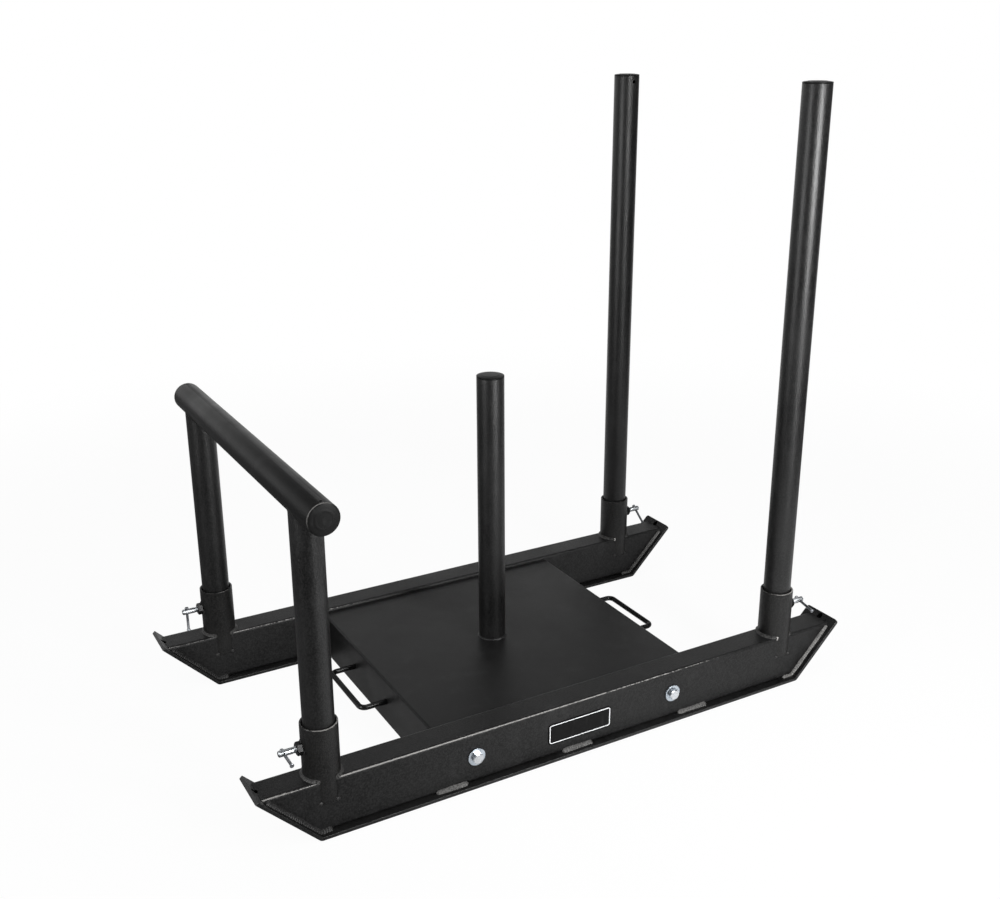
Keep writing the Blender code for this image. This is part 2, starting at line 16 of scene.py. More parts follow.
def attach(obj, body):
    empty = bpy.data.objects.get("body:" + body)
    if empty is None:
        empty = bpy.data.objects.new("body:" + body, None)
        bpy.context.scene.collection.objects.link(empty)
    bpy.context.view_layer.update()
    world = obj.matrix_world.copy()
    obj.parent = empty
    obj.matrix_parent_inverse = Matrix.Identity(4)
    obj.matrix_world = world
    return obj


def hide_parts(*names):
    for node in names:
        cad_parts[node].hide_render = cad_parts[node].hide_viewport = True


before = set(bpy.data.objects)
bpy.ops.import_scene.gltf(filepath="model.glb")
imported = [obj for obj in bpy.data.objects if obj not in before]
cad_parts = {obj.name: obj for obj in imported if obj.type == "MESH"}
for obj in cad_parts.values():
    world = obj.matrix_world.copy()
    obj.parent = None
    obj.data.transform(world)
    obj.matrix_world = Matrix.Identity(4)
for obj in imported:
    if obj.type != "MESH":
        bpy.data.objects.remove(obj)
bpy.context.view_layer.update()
SIDES = {"near": -1, "far": 1}

# %% [markdown]
# ## A grid becomes a piece
# Almost every part here is a sheet of points in rows and columns: a profile turned about an axis, or a
# section carried along a path. One helper joins such grids by four-sided faces. It works on whole arrays:
# shifting an array of point numbers by one row or one column gives each point's neighbours at once.

# %% Join grids of points into one mesh
SHARP = 35
OPEN_ENDS = {"loop_rows": False, "capped": False}


def put_in_scene(name, data):
    """Make an object of a mesh, a lamp or a camera, and link it into the scene."""
    made = bpy.data.objects.new(name, data)
    bpy.context.scene.collection.objects.link(made)
    return made


def new_mesh(name, points, faces):
    """Make a mesh of an array of points and a list of faces."""
    mesh = bpy.data.meshes.new(name)
    mesh.from_pydata(points.reshape(-1, 3).tolist(), [], faces)
    return mesh


def grid_faces(rows, columns, start=0, loop_rows=False, capped=True):
    """Each face joins a point to its neighbours to the right, below, and both.

    Columns always close on themselves. Rows close too, or else the first and last row can be filled."""
    index = start + np.arange(rows * columns).reshape(rows, columns)
    right = np.roll(index, -1, axis=1)
    below = np.roll(index, -1, axis=0)
    both = np.roll(right, -1, axis=0)
    last_row = rows if loop_rows else rows - 1
    faces = np.stack([index, right, both, below], axis=-1)[:last_row].reshape(-1, 4).tolist()
    if capped and not loop_rows:
        faces += [index[0, ::-1].tolist(), index[-1].tolist()]
    return faces


def face_outwards(mesh):
    """Merge points that meet, then face outwards: the volume, sum of a . (b x c) / 6, is above 0."""
    shape = bmesh.new()
    shape.from_mesh(mesh)
    bmesh.ops.remove_doubles(shape, verts=shape.verts, dist=1e-7)
    bmesh.ops.dissolve_degenerate(shape, edges=shape.edges, dist=1e-8)
    bmesh.ops.recalc_face_normals(shape, faces=shape.faces)
    if shape.calc_volume(signed=True) < 0:
        bmesh.ops.reverse_faces(shape, faces=shape.faces)
    shape.to_mesh(mesh)
    shape.free()


def make_piece(name, grids, paint, body, nodes=(), loop_rows=True, sharp=SHARP, pale_mark=None, capped=True):
    """Join grids of shape (rows, columns, 3) into one piece that rides on a body and stands for CAD nodes.

    The pale mark holds one array for each grid, and spreads to a value for each of its points. It marks
    rubbed paint and painted highlights, and on the badge its border."""
    grids = grids if isinstance(grids, list) else [grids]
    faces = []
    start = 0
    for grid in grids:
        rows, columns, _ = grid.shape
        faces += grid_faces(rows, columns, start, loop_rows, capped)
        start += rows * columns
    mesh = new_mesh(name, np.concatenate([grid.reshape(-1, 3) for grid in grids]), faces)
    if pale_mark is not None:
        spread = [np.broadcast_to(part, grid.shape[:2]).ravel() for part, grid in zip(pale_mark, grids)]
        values = np.concatenate(spread).astype(np.float32)
        mesh.attributes.new("pale_mark", "FLOAT", "POINT").data.foreach_set("value", values)
    face_outwards(mesh)
    mesh.shade_smooth()
    mesh.set_sharp_from_angle(angle=math.radians(sharp))
    mesh.materials.append(paint)
    piece = put_in_scene(name, mesh)
    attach(piece, body)
    if nodes:
        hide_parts(*nodes)
    return piece


# %% [markdown]
# ## Shapes used again and again
# A corner that is really bent or machined is never perfectly sharp, so outlines are softened by a curve that
# leaves the outline a little before the corner. A round part is a profile turned about an axis, and a rod
# is a ring carried along a path.

# %% Outlines, turned profiles and rings along a path
def soften(corners, size, steps):
    """Round each corner of a closed outline by (1-t)^2 start + 2t(1-t) corner + t^2 end."""
    corners = np.asarray(corners, float)
    before = np.roll(corners, 1, axis=0) - corners
    after = np.roll(corners, -1, axis=0) - corners
    start = (corners + before / np.linalg.norm(before, axis=1, keepdims=True) * size)[:, None]
    end = (corners + after / np.linalg.norm(after, axis=1, keepdims=True) * size)[:, None]
    t = np.linspace(0, 1, steps)[None, :, None]
    curve = (1 - t) ** 2 * start + 2 * t * (1 - t) * corners[:, None] + t**2 * end
    return curve.reshape(-1, 2)


def around(sides):
    """Evenly spaced angles, once round a circle."""
    return np.linspace(0, 2 * np.pi, sides, endpoint=False)


def place(points, origin, along=(0, 0, 1), across=(1, 0, 0)):
    """Carry local points to their place: local Z goes along one direction and local X across it."""
    z = np.asarray(along, float) / np.linalg.norm(along)
    x = np.asarray(across, float) / np.linalg.norm(across)
    return points @ np.stack([x, np.cross(z, x), z]) + np.asarray(origin, float)


def turn(profile, sides, origin, along=(0, 0, 1), across=(1, 0, 0)):
    """Turn a profile about local Z, x = r cos a and y = r sin a, and carry it to its place.

    A profile is its radii and its heights. Either has one value for each row, or one for each angle too."""
    parts = (np.asarray(part, float) for part in profile)
    radius, height = (part[:, None] if part.ndim == 1 else part for part in parts)
    radius, height, angle = np.broadcast_arrays(radius, height, around(sides))
    points = np.stack([radius * np.cos(angle), radius * np.sin(angle), height], axis=-1)
    return place(points, origin, along, across)


def ring_along(path, radius, sides):
    """Carry a circle along a level path, square to it: point = path + r (cos a side + sin a top)."""
    ahead = np.gradient(path, axis=0)
    ahead /= np.linalg.norm(ahead, axis=1, keepdims=True)
    side = np.cross(ahead, (0.0, 0.0, 1.0))
    side /= np.linalg.norm(side, axis=1, keepdims=True)
    top = np.cross(side, ahead)
    angle = around(sides)[None, :, None]
    return path[:, None] + radius * (np.cos(angle) * side[:, None] + np.sin(angle) * top[:, None])


def tube_profile(outer, inner, bottom, top, edge=0.0005):
    """Closed profile of a plain tube, with its four edges broken."""
    corners = [(outer, top), (outer, bottom), (inner, bottom), (inner, top)]
    return soften(corners, edge, 4).T


def rounded_box(width, height, corner, steps=8):
    """Closed outline of a rectangle whose corners are quarter circles."""
    quarter = np.linspace(0, np.pi / 2, steps)
    angle = (quarter + np.pi / 2 * np.arange(4)[:, None]).ravel()
    sign_x = np.repeat([1, -1, -1, 1], steps)
    sign_y = np.repeat([1, 1, -1, -1], steps)
    x = sign_x * (width / 2 - corner) + corner * np.cos(angle)
    y = sign_y * (height / 2 - corner) + corner * np.sin(angle)
    return np.stack([x, y], axis=-1)


# %% [markdown]
# ## Holes
# A hole that another part shows through has to be real. A Boolean modifier cuts it, and its result is kept as
# the mesh, so that no cutter stays in the scene.

# %% Drill a piece
def drill(piece, holes, sides=48):
    """Cut round holes, each given as (start, end, radius)."""
    cutters = []
    for start, end, radius in holes:
        along = np.asarray(end, float) - start
        length = np.linalg.norm(along)
        across = np.cross(along, (0, 0, 1)) if abs(along[2]) < 0.9 * length else (1, 0, 0)
        points = turn(([radius, radius], [0, length]), sides, start, along, across)
        mesh = new_mesh("cutter", points, grid_faces(2, sides))
        face_outwards(mesh)
        cutter = put_in_scene("cutter", mesh)
        cut = piece.modifiers.new("Hole", "BOOLEAN")
        cut.object = cutter
        cut.solver = "EXACT"
        cutters.append(cutter)
    graph = bpy.context.evaluated_depsgraph_get()
    mesh = bpy.data.meshes.new_from_object(piece.evaluated_get(graph))
    mesh.name = piece.name
    piece.modifiers.clear()
    piece.data = mesh
    for cutter in cutters:
        bpy.data.objects.remove(cutter)
    mesh.set_sharp_from_angle(angle=math.radians(SHARP))


def keep_flats_flat(piece):
    """Let large faces set the shading of their corners, so that a flat side next to a bend stays flat."""
    weigh = piece.modifiers.new("Flats", "WEIGHTED_NORMAL")
    weigh.keep_sharp = True


# %% [markdown]
# ## Effects that the finishes share
# Powder coat is sprayed dry and melts in an oven, which leaves a fine pebbled skin. Paint also varies a
# little from place to place, and rubs off along edges and where a post slides in and out. The rubbed-edge
# group also paints pale highlights along some edges. Each effect is one node group, built once, that every
# finish uses with its own numbers.

# %% Small helpers for nodes
def add(tree, kind, inputs=None, **settings):
    """Add a node, set its options, and fill each input with a value or a link."""
    made = tree.nodes.new(kind)
    for key, value in settings.items():
        setattr(made, key, value)
    for key, value in (inputs or {}).items():
        if isinstance(value, bpy.types.NodeSocket):
            tree.links.new(value, made.inputs[key])
        else:
            made.inputs[key].default_value = value
    return made


def mix_colour(tree, factor, first, second):
    """Blend two colours by a factor. Each is a link, or its red, green and blue."""
    first, second = ((*side, 1) if isinstance(side, tuple) else side for side in (first, second))
    return add(tree, "ShaderNodeMix", {0: factor, 6: first, 7: second}, data_type="RGBA").outputs[2]


def scale_to(tree, value, low, high):
    """Stretch a value between 0 and 1 to run from low to high."""
    return add(tree, "ShaderNodeMapRange", {"Value": value, "To Min": low, "To Max": high}).outputs["Result"]


def share_of_way(tree, value, low, high):
    """How far a value is on its way from low to high, between 0 and 1."""
    inputs = {"Value": value, "From Min": low, "From Max": high}
    return add(tree, "ShaderNodeMapRange", inputs).outputs["Result"]


def combine(tree, operation, first, second):
    """Join two numbers by one operation, such as MULTIPLY or MAXIMUM."""
    return add(tree, "ShaderNodeMath", {0: first, 1: second}, operation=operation).outputs[0]


def new_group(name, numbers):
    """Start a node group with these number inputs. Return it, the inputs and the place on the object."""
    tree = bpy.data.node_groups.new(name, "ShaderNodeTree")
    for key, value in numbers.items():
        socket = tree.interface.new_socket(key, in_out="INPUT", socket_type="NodeSocketFloat")
        socket.default_value = value
    where = add(tree, "ShaderNodeTexCoord").outputs["Object"]
    return tree, tree.nodes.new("NodeGroupInput").outputs, where


def group_noise(tree, inputs, where, detail, roughness=0.5):
    """Noise at the group's own scale."""
    settings = {"Vector": where, "Scale": inputs["Scale"], "Detail": detail, "Roughness": roughness}
    return add(tree, "ShaderNodeTexNoise", settings).outputs["Fac"]


def end_group(tree, values):
    """Give the group one number output for each value."""
    last = tree.nodes.new("NodeGroupOutput")
    for key, value in values.items():
        tree.interface.new_socket(key, in_out="OUTPUT", socket_type="NodeSocketFloat")
        tree.links.new(value, last.inputs[key])


def place_group(tree, name, **numbers):
    """Put a group into a material with its own numbers."""
    group = add(tree, "ShaderNodeGroup", node_tree=bpy.data.node_groups[name])
    for key, value in numbers.items():
        group.inputs[key].default_value = value
    return group.outputs


# %% Build the shared effects
def build_pebble_group():
    """Pebbles: fine noise as a height, and its middle spread out between 0 and 1 as a speckle."""
    tree, inputs, where = new_group("powder_pebble", {"Scale": 500.0})
    noise = group_noise(tree, inputs, where, 3.0, 0.6)
    end_group(tree, {"Height": noise, "Speckle": share_of_way(tree, noise, 0.4, 0.62)})


def build_patch_group():
    """Patches: broad, slow noise that shifts colour and gloss a little from place to place."""
    tree, inputs, where = new_group("slow_patches", {"Scale": 14.0})
    noise = group_noise(tree, inputs, where, 4.0, 0.55)
    end_group(tree, {"Patch": share_of_way(tree, noise, 0.3, 0.7)})


def build_scuff_group():
    """Scuffs: noise stretched along Z into streaks, kept only where it is highest, times Amount."""
    tree, inputs, where = new_group("fine_scuffs", {"Scale": 60.0, "Stretch": 0.08, "Amount": 0.1})
    stretch = add(tree, "ShaderNodeCombineXYZ", {"X": 1.0, "Y": 1.0, "Z": inputs["Stretch"]}).outputs[0]
    streaks = add(tree, "ShaderNodeVectorMath", {0: where, 1: stretch}, operation="MULTIPLY").outputs[0]
    peaks = share_of_way(tree, group_noise(tree, inputs, streaks, 6.0), 0.58, 0.72)
    end_group(tree, {"Scuff": combine(tree, "MULTIPLY", peaks, inputs["Amount"])})


def build_wear_group():
    """Bare_and_highlight = share of the way that the pale mark + noise is from Low to High, times Amount,
    times the pale mark / 0.5 up to 1.

    The mesh's pale mark stands for rubbed paint and for painted highlights; the noise breaks it up into
    flecks."""
    tree, inputs, where = new_group("rubbed_edge_and_highlight", {"Scale": 300.0, "Amount": 1.0, "Low": 0.95, "High": 1.15})
    rubbed = add(tree, "ShaderNodeAttribute", attribute_name="pale_mark").outputs["Fac"]
    both = combine(tree, "ADD", rubbed, group_noise(tree, inputs, where, 4.0))
    flecks = share_of_way(tree, both, inputs["Low"], inputs["High"])
    flecks = combine(tree, "MULTIPLY", flecks, inputs["Amount"])
    end_group(tree, {"Bare_and_highlight": combine(tree, "MULTIPLY", flecks, share_of_way(tree, rubbed, 0.0, 0.5))})


build_pebble_group()
build_patch_group()
build_scuff_group()
build_wear_group()
print("shared effects:", sorted(group.name for group in bpy.data.node_groups))

# %% [markdown]
# ## The finishes
# The frame is satin black powder coat. The rods and nuts are smoother and glossier, the caps are moulded
# plastic, and the screws and bolts are bright zinc. Each finish is one Principled shader, with the shared
# effects in its colour, roughness and bump.

# %% Paint, plastic and zinc
# Pale grey of paint rubbed to bare steel, also used for highlights painted along edges and rims
BARE_STEEL_AND_HIGHLIGHT = (0.35, 0.341, 0.328)


def new_paint(name):
    """Start a material with its Principled shader."""
    paint = bpy.data.materials.new(name)
    paint.use_nodes = True
    return paint, paint.node_tree, paint.node_tree.nodes["Principled BSDF"]


def fill_shader(tree, shader, colour, patch, roughness, specular=0.5, relief=None):
    """Link the colour, and a roughness that runs between two values with the patches.

    The relief, where there is one, is a height with the bump's strength and its depth in metres."""
    tree.links.new(colour, shader.inputs["Base Color"])
    tree.links.new(scale_to(tree, patch["Patch"], *roughness), shader.inputs["Roughness"])
    shader.inputs["Specular IOR Level"].default_value = specular
    if relief:
        bump = add(tree, "ShaderNodeBump", dict(zip(("Height", "Strength", "Distance"), relief)))
        tree.links.new(bump.outputs["Normal"], shader.inputs["Normal"])


def powder_paint(name, low, high, roughness, specular, scale, bump, bare=0.0, limits=(0.95, 1.15)):
    """Black paint: speckled by its pebbles, patchy in gloss, scuffed, and pale grey where rubbed to bare
    steel and where a highlight is painted.
    """
    paint, tree, shader = new_paint(name)
    pebble = place_group(tree, "powder_pebble", Scale=scale)
    patch = place_group(tree, "slow_patches", Scale=9.0)
    scuff = place_group(tree, "fine_scuffs", Scale=30.0, Stretch=0.6, Amount=0.06)
    colour = mix_colour(tree, pebble["Speckle"], low, high)
    lifted = tuple(1.2 * part + 0.001 for part in high)
    colour = mix_colour(tree, scale_to(tree, patch["Patch"], 0.0, 0.4), colour, lifted)
    colour = mix_colour(tree, scuff["Scuff"], colour, (0.08, 0.08, 0.082))
    # Pale grey where the paint is rubbed bare, and where a highlight is painted
    if bare:
        rubbed = place_group(tree, "rubbed_edge_and_highlight", Amount=bare, Low=limits[0], High=limits[1])
        colour = mix_colour(tree, rubbed["Bare_and_highlight"], colour, BARE_STEEL_AND_HIGHLIGHT)
    rough = (roughness - 0.05, roughness + 0.07)
    fill_shader(tree, shader, colour, patch, rough, specular, (pebble["Height"], bump, 0.0009))
    return paint


def smooth_paint(name, colour, roughness, specular, scale=260.0, bump=0.08):
    """Smoother paint or plastic: the same effects, set low."""
    paint, tree, shader = new_paint(name)
    pebble = place_group(tree, "powder_pebble", Scale=scale)
    patch = place_group(tree, "slow_patches", Scale=25.0)
    scuff = place_group(tree, "fine_scuffs", Scale=90.0, Stretch=0.5, Amount=0.1)
    lifted = tuple(1.4 * part + 0.001 for part in colour)
    made = mix_colour(tree, patch["Patch"], colour, lifted)
    made = mix_colour(tree, scuff["Scuff"], made, (0.09, 0.09, 0.092))
    rough = (roughness, roughness + 0.06)
    fill_shader(tree, shader, made, patch, rough, specular, (pebble["Height"], bump, 0.0005))
    return paint


def zinc_plate(name, low, high, roughness):
    """Bright zinc: cool white metal, cloudy from its bath, with fine scratches."""
    paint, tree, shader = new_paint(name)
    pebble = place_group(tree, "powder_pebble", Scale=900.0)
    cloud = place_group(tree, "slow_patches", Scale=60.0)
    scuff = place_group(tree, "fine_scuffs", Scale=400.0, Stretch=0.3, Amount=0.6)
    colour = mix_colour(tree, cloud["Patch"], low, high)
    colour = mix_colour(tree, scuff["Scuff"], colour, (0.46, 0.47, 0.5))
    rough = (roughness, roughness + 0.14)
    fill_shader(tree, shader, colour, cloud, rough, relief=(pebble["Height"], 0.06, 0.0002))
    shader.inputs["Metallic"].default_value = 1.0
    return paint


def grey(value):
    """The same value for red, green and blue."""
    return (value, value, value)


# Powder: darkest, lightest, roughness, specular, pebble scale, bump, share turned pale (rubbed bare, and
# painted highlight) and its limits
POWDER = powder_paint("black_powder_coat", grey(0.0), grey(0.012), 0.35, 0.38, 420.0, 0.5)
RUNNER_POWDER = powder_paint("runner_powder_coat", grey(0.001), grey(0.014), 0.42, 0.24, 420.0, 0.6, 0.7)
TRAY_POWDER = powder_paint("tray_powder_coat", grey(0.003), grey(0.009), 0.42, 0.27, 700.0, 0.2)
SLEEVE_POWDER = powder_paint(
    "sleeve_powder_coat", grey(0.001), (0.014, 0.0138, 0.0134), 0.38, 0.3, 420.0, 0.7, 0.7
)
WELD_POWDER = powder_paint(
    "weld_powder_coat", grey(0.003), grey(0.016), 0.4, 0.3, 500.0, 0.25, 1.0, limits=(0.5, 1.5)
)
# The handle's pale share paints only the highlight on its tube's end faces
TUBE_POWDER = powder_paint(
    "handle_powder_coat", grey(0.001), grey(0.004), 0.4, 0.17, 500.0, 0.2, 0.3, limits=(0.6, 1.4)
)
# Smooth paint and plastic: colour, roughness, specular. Zinc: darkest, lightest, roughness
GLOSS = smooth_paint("black_gloss_paint", grey(0.003), 0.24, 0.3, bump=0.05)
NUT_PAINT = smooth_paint("black_nut_paint", grey(0.004), 0.28, 0.35, bump=0.04)
PLASTIC = smooth_paint("black_cap_plastic", grey(0.005), 0.38, 0.13, scale=900.0)
# Painted shade: near-black matte paint for cups that stand in for the shade inside the end holes
HOLE_SHADE_PAINT = smooth_paint("painted_shade_in_hole", grey(0.0005), 0.9, 0.02)
ZINC = zinc_plate("clean_zinc", (0.66, 0.68, 0.7), (0.8, 0.83, 0.86), 0.2)
WASHER_ZINC = zinc_plate("blue_zinc", (0.48, 0.54, 0.6), (0.64, 0.7, 0.76), 0.24)
# Painted shade: the screws' zinc is greyer than the bolts', and the bars' far darker, standing in for the dim
# surroundings that they mirror
SCREW_ZINC = zinc_plate("screw_zinc", (0.4, 0.42, 0.43), (0.56, 0.58, 0.6), 0.3)
DARKENED_ZINC = zinc_plate("zinc_painted_darker", (0.14, 0.15, 0.16), (0.3, 0.31, 0.33), 0.3)

# %% [markdown]
# ## The runners
# Each runner is rectangular tube, 52 mm wide and 86.7 mm high, and cut off at a slope at both ends. Only its
# X changes with height, so loops of points along the outside and two loops inside, joined in a ring, make
# the tube. The round sleeves go right into it, so the notches, bolt holes and end holes are then drilled.

# %% Runner tubes
RUNNER_WIDTH = 0.052
RUNNER_BOTTOM = 0.0063
RUNNER_TOP = 0.093
RUNNER_WALL = 0.003
TOP_HALF = 0.549
BOTTOM_HALF = 0.4645
RUNNER_Y = 0.2585
MIDDLE_Y = {side: sign * RUNNER_Y for side, sign in SIDES.items()}
BOLT_X = (-0.199, 0.187)
BOLT_Z = 0.051
BOLT_HOLE = 0.0055
SLEEVE_RADIUS = 0.0289
SLEEVE_BORE = 0.0257
SLEEVE_BOTTOM = 0.055
SLEEVE_TOP = 0.1796
GAP = 0.0003
HANDLE_X = -0.447
TALL_X = 0.437
ENDS = {"handle": (HANDLE_X, -1), "tall": (TALL_X, 1)}
CORNERS = [(end, side) for end in ENDS for side in SIDES]
END_HOLE_OUTSET = 0.0017
END_HOLE_X = TOP_HALF + END_HOLE_OUTSET
STATIONS = [-1, -0.845, -0.782, -0.5, -0.15, 0.2, 0.45, 0.58, 1]
# Pale mark along the top corners at each station: rubbed paint, and a painted highlight, strongest towards
# the handle end and on the near runner
EDGE_WEAR_AND_HIGHLIGHT = {
    "near": [1.3, 1.3, 1.3, 1.2, 1.0, 0.85, 0.75, 0.4, 0.0],
    "far": [0.85, 0.85, 0.85, 0.7, 0.4, 0.0, 0.0, 0.0, 0.0],
}


def half_length(z):
    """Half of a runner's length at a height: it grows evenly from the bottom to the top."""
    share = (z - RUNNER_BOTTOM) / (RUNNER_TOP - RUNNER_BOTTOM)
    return BOTTOM_HALF + (TOP_HALF - BOTTOM_HALF) * share


def end_hole(outward, y, bottom):
    """Hole of 10 mm through a runner's end, from a height inside the tube to above the skid's lip."""
    return (outward * END_HOLE_X, y, bottom), (outward * END_HOLE_X, y, 0.12), 0.005


def make_runner(side):
    """Section loops at stations: outside from -X to +X, inside back again.

    Each corner of a loop has 8 points, the top corners first. The pale mark, rubbed paint and a painted
    highlight, peaks in the middle of a top corner."""
    y = MIDDLE_Y[side]
    height = RUNNER_TOP - RUNNER_BOTTOM
    rows = []
    outside = (RUNNER_WIDTH, height, 0.005)
    inside = (RUNNER_WIDTH - 2 * RUNNER_WALL, height - 2 * RUNNER_WALL, 0.002)
    for size, share in [(outside, share) for share in STATIONS] + [(inside, 1), (inside, -1)]:
        loop = rounded_box(*size)
        z = loop[:, 1] + (RUNNER_TOP + RUNNER_BOTTOM) / 2
        rows.append(np.stack([share * half_length(z), y + loop[:, 0], z], axis=-1))
    number = np.arange(32)
    on_corner = np.clip(1.05 - np.abs(number % 8 - 3.5) / 1.5, 0, 0.72) * (number < 16)
    pale_mark = [np.array(EDGE_WEAR_AND_HIGHLIGHT[side] + [0, 0])[:, None] * on_corner]
    node = "runner_tube_" + side
    tube = make_piece("runner_" + side, np.stack(rows), RUNNER_POWDER, "frame", [node], pale_mark=pale_mark)
    holes = []
    for x, outward in ENDS.values():
        holes.append(((x, y, SLEEVE_BOTTOM - GAP), (x, y, 0.2), SLEEVE_RADIUS + GAP))
        holes.append(end_hole(outward, y, 0.081))
    for x in BOLT_X:
        holes.append(((x, y - 0.04, BOLT_Z), (x, y + 0.04, BOLT_Z), BOLT_HOLE))
    drill(tube, holes)
    keep_flats_flat(tube)
    return tube


for side in SIDES:
    print("runner faces:", len(make_runner(side).data.polygons))

# %% [markdown]
# ## The skid plates
# A flat bar, wider than the tube, is bent up at both ends along the tube's slope and runs on past its top. A
# rounded rectangle carried along the bar's side view makes it, and the rectangle narrows at the two tips for
# their rounded corners.

# %% Skid plates
SKID_WIDTH = 0.077
SKID_THICKNESS = 0.006
SKID_BEND = 0.0025
SKID_LIP = 0.0115
SLOPE = math.atan2(RUNNER_TOP - RUNNER_BOTTOM, TOP_HALF - BOTTOM_HALF)
ALONG_SLOPE = np.array([math.cos(SLOPE), math.sin(SLOPE)])
OUT_OF_SLOPE = np.array([math.sin(SLOPE), -math.cos(SLOPE)])


def skid_path():
    """Middle line of the bar and its outward normal, in X and Z: flat, an arc of 5.5 mm, then the slope."""
    bend = SKID_BEND + SKID_THICKNESS / 2
    centre_x = BOTTOM_HALF + GAP * math.tan(SLOPE / 2) - SKID_BEND * math.tan(SLOPE / 2)
    centre = np.array([centre_x, SKID_BEND + SKID_THICKNESS])
    angle = np.linspace(0, SLOPE, 13)
    normal = np.stack([np.sin(angle), -np.cos(angle)], axis=-1)
    arc = centre + bend * normal
    tube_top = np.array([TOP_HALF, RUNNER_TOP]) + OUT_OF_SLOPE * (GAP + SKID_THICKNESS / 2)
    tip = tube_top + ALONG_SLOPE * SKID_LIP
    left = np.concatenate([[0.012], np.linspace(0.005, 0, 10)])
    rise = tip - left[:, None] * ALONG_SLOPE
    half = np.concatenate([[[0, SKID_THICKNESS / 2]], arc, rise])
    normals = np.concatenate([[[0, -1]], normal, np.repeat([OUT_OF_SLOPE], len(rise), axis=0)])
    to_tip = np.concatenate([np.full(1 + len(arc), 1.0), left])
    return half, normals, to_tip


def make_skid(side):
    """Section carried along the bar. At d from a tip each side draws in by r - sqrt(r^2 - (r - d)^2)."""
    half, normals, to_tip = skid_path()
    flip = np.array([-1, 1])
    line = np.concatenate([half[:0:-1] * flip, half])
    normals = np.concatenate([normals[:0:-1] * flip, normals])
    to_tip = np.concatenate([to_tip[:0:-1], to_tip])
    corner = np.where(line[:, 0] < 0, 0.0025, 0.005)
    inset = corner - np.sqrt(corner**2 - np.clip(corner - to_tip, 0, corner) ** 2)
    section = rounded_box(SKID_WIDTH, SKID_THICKNESS, 0.0009, 4)
    across = section[:, 0] - inset[:, None] * (section[:, 0] / (SKID_WIDTH / 2))
    side_view = line[:, None] - normals[:, None] * section[:, 1, None]
    points = np.stack([side_view[..., 0], MIDDLE_Y[side] + across, side_view[..., 1]], axis=-1)
    plate = make_piece("skid_" + side, points, POWDER, "frame", ["skid_plate_" + side], loop_rows=False)
    drill(plate, [end_hole(outward, MIDDLE_Y[side], 0.08) for _, outward in ENDS.values()])
    keep_flats_flat(plate)
    return plate


for side in SIDES:
    print("skid plate faces:", len(make_skid(side).data.polygons))

# %% [markdown]
# ## Sleeves, posts and the push handle
# These are all plain round tube, so each is a closed profile turned about its axis. The sleeves' rims carry
# a pale mark: a post rubs them bare each time it goes in, and a highlight is painted on them, strongest on
# the side facing -Y and on the near runner. The uprights' tops are shaped to the round of the tube that they
# carry, so there the height changes with the angle.

# %% Sleeves
POST_RADIUS = 0.02415
POST_BORE = POST_RADIUS - 0.0025
CLAMP_Z = 0.143
SCREW_HOLE = 0.0053


def make_sleeve(end, side):
    """Closed profile with rounded rims; the pale mark falls from the rim to 0 within 1 mm. It is rubbed
    paint, and a painted highlight that is most on the side facing -Y.
    """
    x, outward = ENDS[end]
    y = MIDDLE_Y[side]
    radius, height = tube_profile(SLEEVE_RADIUS, SLEEVE_BORE, SLEEVE_BOTTOM, SLEEVE_TOP, 0.0009)
    radius = np.insert(radius, [4, 12], [SLEEVE_RADIUS, SLEEVE_BORE])
    height = np.insert(height, [4, 12], SLEEVE_TOP - 0.0015)
    # Painted highlight: the rims are paler on the side that faces -Y, and less so on the far runner
    facing = np.clip(np.cos(around(80) + math.radians(80)), 0, 1)
    most = (0.44 + 0.38 * facing**2) * (1.0 if side == "near" else 0.6)
    pale_mark = [np.clip(1.0 - (SLEEVE_TOP - height) / 0.001, 0, 1)[:, None] * most]
    points = turn((radius, height), 80, (x, y, 0))
    name = f"{end}_{side}"
    sleeve = make_piece("sleeve_tube_" + name, points, SLEEVE_POWDER, "frame", ["sleeve_" + name], pale_mark=pale_mark)
    drill(sleeve, [((x, y, CLAMP_Z), (x + outward * 0.04, y, CLAMP_Z), SCREW_HOLE)])
    return sleeve


for end, side in CORNERS:
    make_sleeve(end, side)
print("four sleeves, rims at", SLEEVE_TOP)

# %% Tall posts and the weight post
CAP_HEIGHT = 0.0045
TALL_TOP = 1.061
TALL_END = TALL_TOP - CAP_HEIGHT - GAP
WEIGHT_X = -0.012
WEIGHT_TOP = 0.584
WEIGHT_END = WEIGHT_TOP - CAP_HEIGHT - GAP
TRAY_TOP = 0.087
TRAY_SHEET = 0.003


def make_post(name, node, body, x, y, bottom, top):
    """Plain tube, its edges broken by half a millimetre."""
    points = turn(tube_profile(POST_RADIUS, POST_BORE, bottom, top), 72, (x, y, 0))
    return make_piece(name, points, POWDER, body, [node])


for side, sign in SIDES.items():
    body = "tall_post_" + side
    post = make_post("post_tube_" + side, body, body, TALL_X, MIDDLE_Y[side], SLEEVE_BOTTOM, TALL_END)
    inner = sign * (RUNNER_Y - POST_RADIUS)
    hole_z = TALL_TOP - 0.015
    drill(post, [((TALL_X, inner + sign * 0.01, hole_z), (TALL_X, inner - sign * 0.01, hole_z), 0.003)])
make_post("weight_post_tube", "weight_post", "frame", WEIGHT_X, 0, TRAY_TOP - TRAY_SHEET, WEIGHT_END)
print("posts end at", TALL_TOP, "and", WEIGHT_TOP)

# %% Push handle
CROSS_Z = 0.525
CROSS_HALF = 0.330


